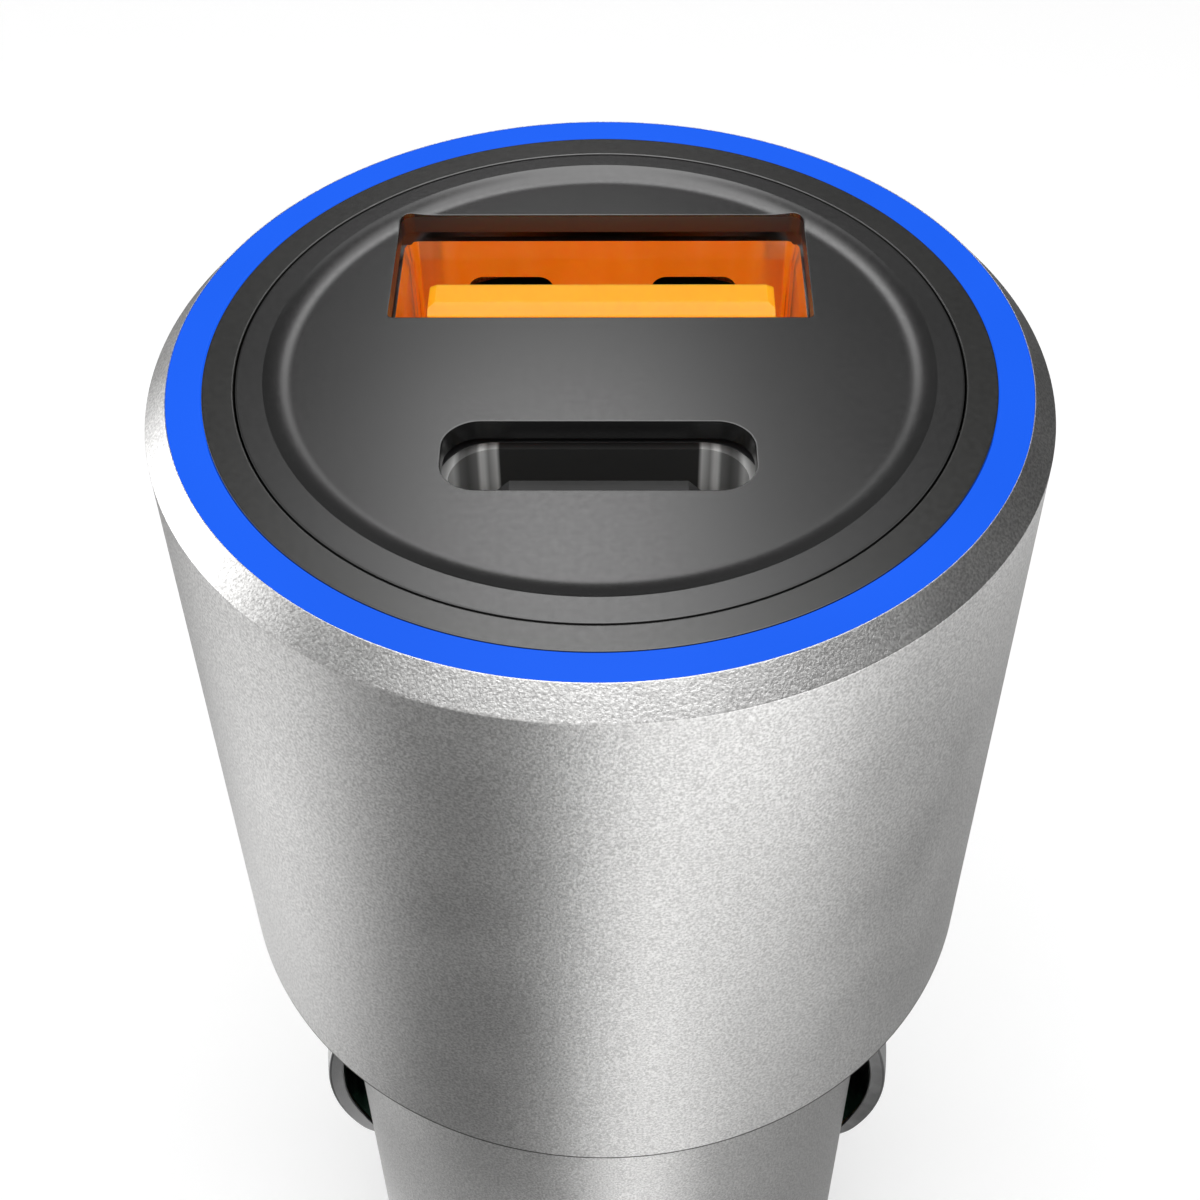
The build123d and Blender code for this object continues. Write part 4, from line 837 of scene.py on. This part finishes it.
def make_nose():
    """Closed ring profile of the nose: plug, flange, cone, mouth and the tip's chamber."""
    profile = rounded_profile([
        (CHAMBER_RADIUS, NOSE_TOP, 0), (NOSE_PLUG, NOSE_TOP, 0.1), (NOSE_PLUG, STEM_END, 0),
        (NOSE_RADIUS, STEM_END, 0.08), (NOSE_RADIUS, STEM_END - 0.8, 0.25),
        (NOSE_NARROW, NOSE_END, 0.35), (NOSE_MOUTH, NOSE_END, 0.15), (NOSE_MOUTH, CHAMBER_END, 0),
        (CHAMBER_RADIUS, CHAMBER_END, 0),
    ])
    return turned("black_nose", profile, "main", NOSE_BLACK)


def make_tip():
    """Plated tip: an end domed as a sphere through its middle and its side, a straight side, the
    flange in the nose and the pin in the spring."""
    sphere = (TIP_RADIUS ** 2 + TIP_DOME ** 2) / (2 * TIP_DOME)
    lean = np.linspace(0, np.arcsin(TIP_RADIUS / sphere) * 0.86, 12)
    dome = np.stack((sphere * np.sin(lean), TIP_END + sphere * (1 - np.cos(lean))), 1)
    side = rounded_profile([
        (*dome[-1], 0), (TIP_RADIUS, -33.55, 0.6), (TIP_RADIUS, TIP_FLANGE_LOW, 0.05),
        (TIP_FLANGE_RADIUS, TIP_FLANGE_LOW, 0.08), (TIP_FLANGE_RADIUS, TIP_FLANGE_TOP, 0.08),
        (PIN_RADIUS, TIP_FLANGE_TOP, 0.05), (PIN_RADIUS, PIN_TOP, 0.2), (0, PIN_TOP, 0),
    ], closed=False)
    profile = np.vstack((dome, side[1:]))
    return turned("plated_tip", profile, "tip", TIP_METAL, closed=False)


def make_tip_spring():
    """Coil spring between the tip's flange and the nose's top: a round wire carried along a helix.

    At the share s of its length the helix has turned by all its turns times s and has risen by
    its height times s, and the wire's circle lies in the plane of the outward direction and the
    one square to it and to the helix. It rides on no body."""
    rows, sides = 361, 12
    s = np.linspace(0, 1, rows)[:, None]
    q = (np.arange(sides) / sides * TAU)[None, :]
    angle = SPRING_TURNS * TAU * s
    tilt = np.arctan2((SPRING_TOP - SPRING_LOW) / (SPRING_TURNS * TAU), SPRING_RADIUS)
    r = SPRING_RADIUS + SPRING_WIRE_HALF * np.cos(q)
    lean = SPRING_WIRE_HALF * np.sin(q)
    x = r * np.cos(angle) + lean * np.sin(tilt) * np.sin(angle)
    y = r * np.sin(angle) - lean * np.sin(tilt) * np.cos(angle)
    z = SPRING_LOW + (SPRING_TOP - SPRING_LOW) * s + lean * np.cos(tilt)
    points = np.stack(np.broadcast_arrays(x, y, z), -1).reshape(-1, 3)
    faces = grid_faces(rows, sides, False, True)
    faces += [list(range(sides)), list(range((rows - 1) * sides, rows * sides))]
    return make_piece("coil_spring", points, faces, None, STEEL, 60)


head = make_head()
stem = make_stem()
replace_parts(head, "housing")
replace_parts(stem, "housing")
glow_ring, black_bezel = make_rings()
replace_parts(glow_ring, "light_ring")
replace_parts(black_bezel, "bezel_ring")
for piece in make_face():
    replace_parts(piece, "face_plate")
for piece in make_usb_a_shell():
    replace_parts(piece, "usb_a_shell")
for piece in make_usb_c_shell():
    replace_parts(piece, "usb_c_shell")
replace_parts(side_contact("left_bow", "left_side_contact", 180), "left_contact")
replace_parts(side_contact("right_bow", "right_side_contact", 0), "right_contact")
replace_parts(make_nose(), "nose_cap")
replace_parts(make_tip(), "centre_tip")
coil_spring = make_tip_spring()
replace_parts(coil_spring, "tip_spring")
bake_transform(coil_spring)

finishes = {
    "usb_a_insulator": ORANGE, "usb_c_tongue": TONGUE_BLACK,
    "led_board": BOARD_GREEN, "main_board": BOARD_GREEN, "usb_c_board": BOARD_GREEN,
    "contact_carrier": CARRIER_BLACK, "positive_terminal": BRASS,
    "ground_tab": BRASS, "filter_choke": FERRITE, "input_capacitor": CAN_METAL,
}
by_start = {
    "usb_a_contact": GOLD, "usb_c_contacts": GOLD, "led_": LED_WHITE, "board_link": CHIP_BLACK,
    "power_inductor": FERRITE, "output_capacitor": CAN_METAL, "power_chip": CHIP_BLACK,
    "port_chip": CHIP_BLACK, "input_fuse": CERAMIC, "ceramic_capacitor": CERAMIC,
}
for name, node in nodes.items():
    finish = finishes.get(name)
    for start, choice in by_start.items():
        if name.startswith(start) and name not in finishes:
            finish = choice
    if finish:
        node.data.materials.clear()
        node.data.materials.append(finish)


# Floor, light and camera

def seen_directly(tree):
    """1 for camera, glossy and transmission rays, 0 for the rays that light the object."""
    rays = tree.nodes.new("ShaderNodeLightPath")
    total = rays.outputs["Is Camera Ray"]
    for kind in ("Is Glossy Ray", "Is Transmission Ray"):
        total = worked_out(tree, "MAXIMUM", total, rays.outputs[kind])
    return total


def stage_piece(name, points, faces, material):
    """Mesh for the floor or a card, in millimetres, kept apart from the object."""
    mesh = bpy.data.meshes.new(name)
    mesh.from_pydata((points.reshape(-1, 3) * MM).tolist(), [], faces)
    mesh.materials.append(material)
    piece = bpy.data.objects.new(name, mesh)
    bpy.context.scene.collection.objects.link(piece)
    return piece


def make_floor():
    """Round pale floor under the tip, as rings of points out to 400 mm."""
    radii = np.concatenate(([0.0], np.geomspace(20, 400, 16)))[:, None]
    turns = np.arange(96) / 96 * TAU
    level = FLOOR + 0 * radii * turns
    points = np.stack((radii * np.cos(turns), radii * np.sin(turns), level), -1)
    material, tree, shader, _ = new_material("pale_floor")
    shader.inputs["Base Color"].default_value = (0.88, 0.88, 0.88, 1)
    shader.inputs["Roughness"].default_value = 0.8
    shader.inputs["Emission Color"].default_value = (1, 1, 1, 1)
    lift = span(tree, seen_directly(tree), 0, 1, 0, 0.25)
    tree.links.new(lift, shader.inputs["Emission Strength"])
    faces = grid_faces(len(radii), len(turns), False, True)
    return stage_piece("pale_floor", points, faces, material)


def reflector(name, place, softness, glow):
    """Card that only reflections show, its place a function of two shares from -1 to 1.

    Its cover is a smooth step along each share, softness wide on both sides of the edge."""
    count = 49
    a = np.linspace(-1, 1, count) * (1 + softness)
    s = a[:, None]
    points = np.stack(np.broadcast_arrays(*place(a, s)), -1)

    def step(share):
        """Smooth step 3 t^2 - 2 t^3, from 1 inside the edge to 0 outside it."""
        inner = np.clip((1 + softness - np.abs(share)) / (2 * softness), 0, 1)
        return inner ** 2 * (3 - 2 * inner)

    material = bpy.data.materials.new(name)
    material.use_nodes = True
    tree = material.node_tree
    tree.nodes.remove(tree.nodes["Principled BSDF"])
    light = tree.nodes.new("ShaderNodeEmission")
    light.inputs["Strength"].default_value = glow
    clear = tree.nodes.new("ShaderNodeBsdfTransparent")
    cover = tree.nodes.new("ShaderNodeAttribute")
    cover.attribute_name = "cover"
    mix = tree.nodes.new("ShaderNodeMixShader")
    tree.links.new(cover.outputs["Fac"], mix.inputs["Fac"])
    tree.links.new(clear.outputs["BSDF"], mix.inputs[1])
    tree.links.new(light.outputs["Emission"], mix.inputs[2])
    tree.links.new(mix.outputs["Shader"], tree.nodes["Material Output"].inputs["Surface"])
    card = stage_piece(name, points, grid_faces(count, count, False, False), material)
    shares = card.data.attributes.new("cover", "FLOAT", "POINT")
    shares.data.foreach_set("value", (step(s) * step(a)).ravel().astype(np.float32))
    card.visible_camera = False
    card.visible_diffuse = False
    card.visible_shadow = False
    card.visible_transmission = False
    return card


def soft_light(name, azimuth, elevation, distance, width, height, radiance):
    """Soft area light that looks at the head; azimuth 0 is from the front, 90 from the right.
    Its power is radiance times pi times its area."""
    a, e = np.radians(azimuth), np.radians(elevation)
    away = Vector((np.sin(a) * np.cos(e), -np.cos(a) * np.cos(e), np.sin(e)))
    lamp = bpy.data.lights.new(name, "AREA")
    lamp.shape = "RECTANGLE"
    lamp.size, lamp.size_y = width, height
    lamp.energy = radiance * np.pi * width * height
    thing = bpy.data.objects.new(name, lamp)
    thing.location = Vector((0, 0, 0.01)) + away * distance
    thing.rotation_mode = "QUATERNION"
    thing.rotation_quaternion = (-away).to_track_quat("-Z", "Y")
    bpy.context.scene.collection.objects.link(thing)
    return thing


def floor_card(name, azimuth, half_turn, near, far, softness, glow, height):
    """Flat card just over the floor between two radii, even along the radius's logarithm; the
    azimuth is 0 in front and 90 at the right."""
    middle, half = np.log(near * far) / 2, np.log(far / near) / 2

    def place(a, s):
        """Angle even across, and radius even along its logarithm."""
        t, radius = np.radians(azimuth + half_turn * a), np.exp(middle + half * s)
        return radius * np.sin(t), -radius * np.cos(t), height

    return reflector(name, place, softness, glow)


def band_card(name, azimuth, half_width, elevation, half_rise, distance, softness, glow):
    """Card of even width over the head, bent from one elevation to another."""
    def place(a, s):
        """Distance across even to both sides, and elevation even along the arc."""
        t, rise = np.radians(azimuth), np.radians(elevation + half_rise * s)
        across, level = half_width * a, distance * np.cos(rise)
        return (level * np.sin(t) - across * np.cos(t), -level * np.cos(t) - across * np.sin(t),
                HEAD_TOP + distance * np.sin(rise))

    return reflector(name, place, softness, glow)


def round_card(name, azimuth, half_turn, elevation, half_rise, distance, softness, glow):
    """Upright card bent round the head: a piece of a sphere between two azimuths and two
    elevations."""
    def place(a, s):
        """Azimuth even across and elevation even upwards."""
        t, rise = np.radians(azimuth + half_turn * a), np.radians(elevation + half_rise * s)
        level = distance * np.cos(rise)
        return level * np.sin(t), -level * np.cos(t), HEAD_TOP + distance * np.sin(rise)

    return reflector(name, place, softness, glow)


make_floor()
# Each card's numbers stand in the order of its function's names
floor_card("left_flag", 299, 56, 17, 163, 0.27, 0.15, -35.3)
floor_card("right_flag", 92, 66, 13, 71, 0.24, 0.26, -35.2)
floor_card("front_card", 39, 18, 64, 620, 0.95, 2.1, -35.1)
floor_card("left_card", 270, 25, 29, 96, 0.95, 1.1, -35.0)
floor_card("left_back_card", 228, 20, 36, 110, 0.5, 0.2, -35.25)
floor_card("back_card", 170, 62, 85, 420, 0.25, 0.05, -35.15)
round_card("back_screen", 183, 42, 34, 44, 900, 0.12, 0.12)
round_card("right_screen", 91, 62, 10, 27, 330, 0.2, 0.04)
round_card("left_screen", 310, 27, 16, 23, 700, 0.35, 0.1)
round_card("front_screen", 7, 34, 28, 14, 800, 0.4, 0.22)
band_card("back_band", 182, 62, 69, 19, 400, 0.5, 3.2)
soft_light("back_strip", 183, 46.8, 0.5, 0.077, 0.11, 3.75)
soft_light("left_panel", 256, 3, 0.6, 0.38, 0.26, 2.2)
ceiling = soft_light("ceiling", 0, 90, 0.5, 1.0, 0.70, 2.15)
ceiling.location.y = -0.25

world = bpy.data.worlds.new("studio")
bpy.context.scene.world = world
world.use_nodes = True
sky = world.node_tree
level = span(sky, seen_directly(sky), 0, 1, 0.2, 1.0)
sky.nodes["Background"].inputs["Color"].default_value = (1, 1, 1, 1)
sky.links.new(level, sky.nodes["Background"].inputs["Strength"])

# Camera as fitted to the photo: it looks down by lift, is rolled a little and stands a degree round
lift, roll, turn = np.radians(46.411), np.radians(-0.689), np.radians(1.05)
forward = np.array([0, np.cos(lift), -np.sin(lift)])
right, up = np.array([1.0, 0, 0]), np.array([0, np.sin(lift), np.cos(lift)])
turned_right = np.cos(roll) * right + np.sin(roll) * up
turned_up = np.cos(roll) * up - np.sin(roll) * right
lens = bpy.data.cameras.new("camera")
lens.lens = 56.58
lens.sensor_width = 36.0
lens.clip_start = 0.001
lens.clip_end = 10.0
camera = bpy.data.objects.new("camera", lens)
pose = Matrix(np.stack((turned_right, turned_up, -forward), 1).tolist()).to_4x4()
pose.translation = Vector((-0.000068, -0.04203, 0.05716))
camera.matrix_world = Matrix.Rotation(turn, 4, "Z") @ pose
bpy.context.scene.collection.objects.link(camera)
bpy.context.scene.camera = camera
bpy.context.scene.view_settings.view_transform = "Standard"
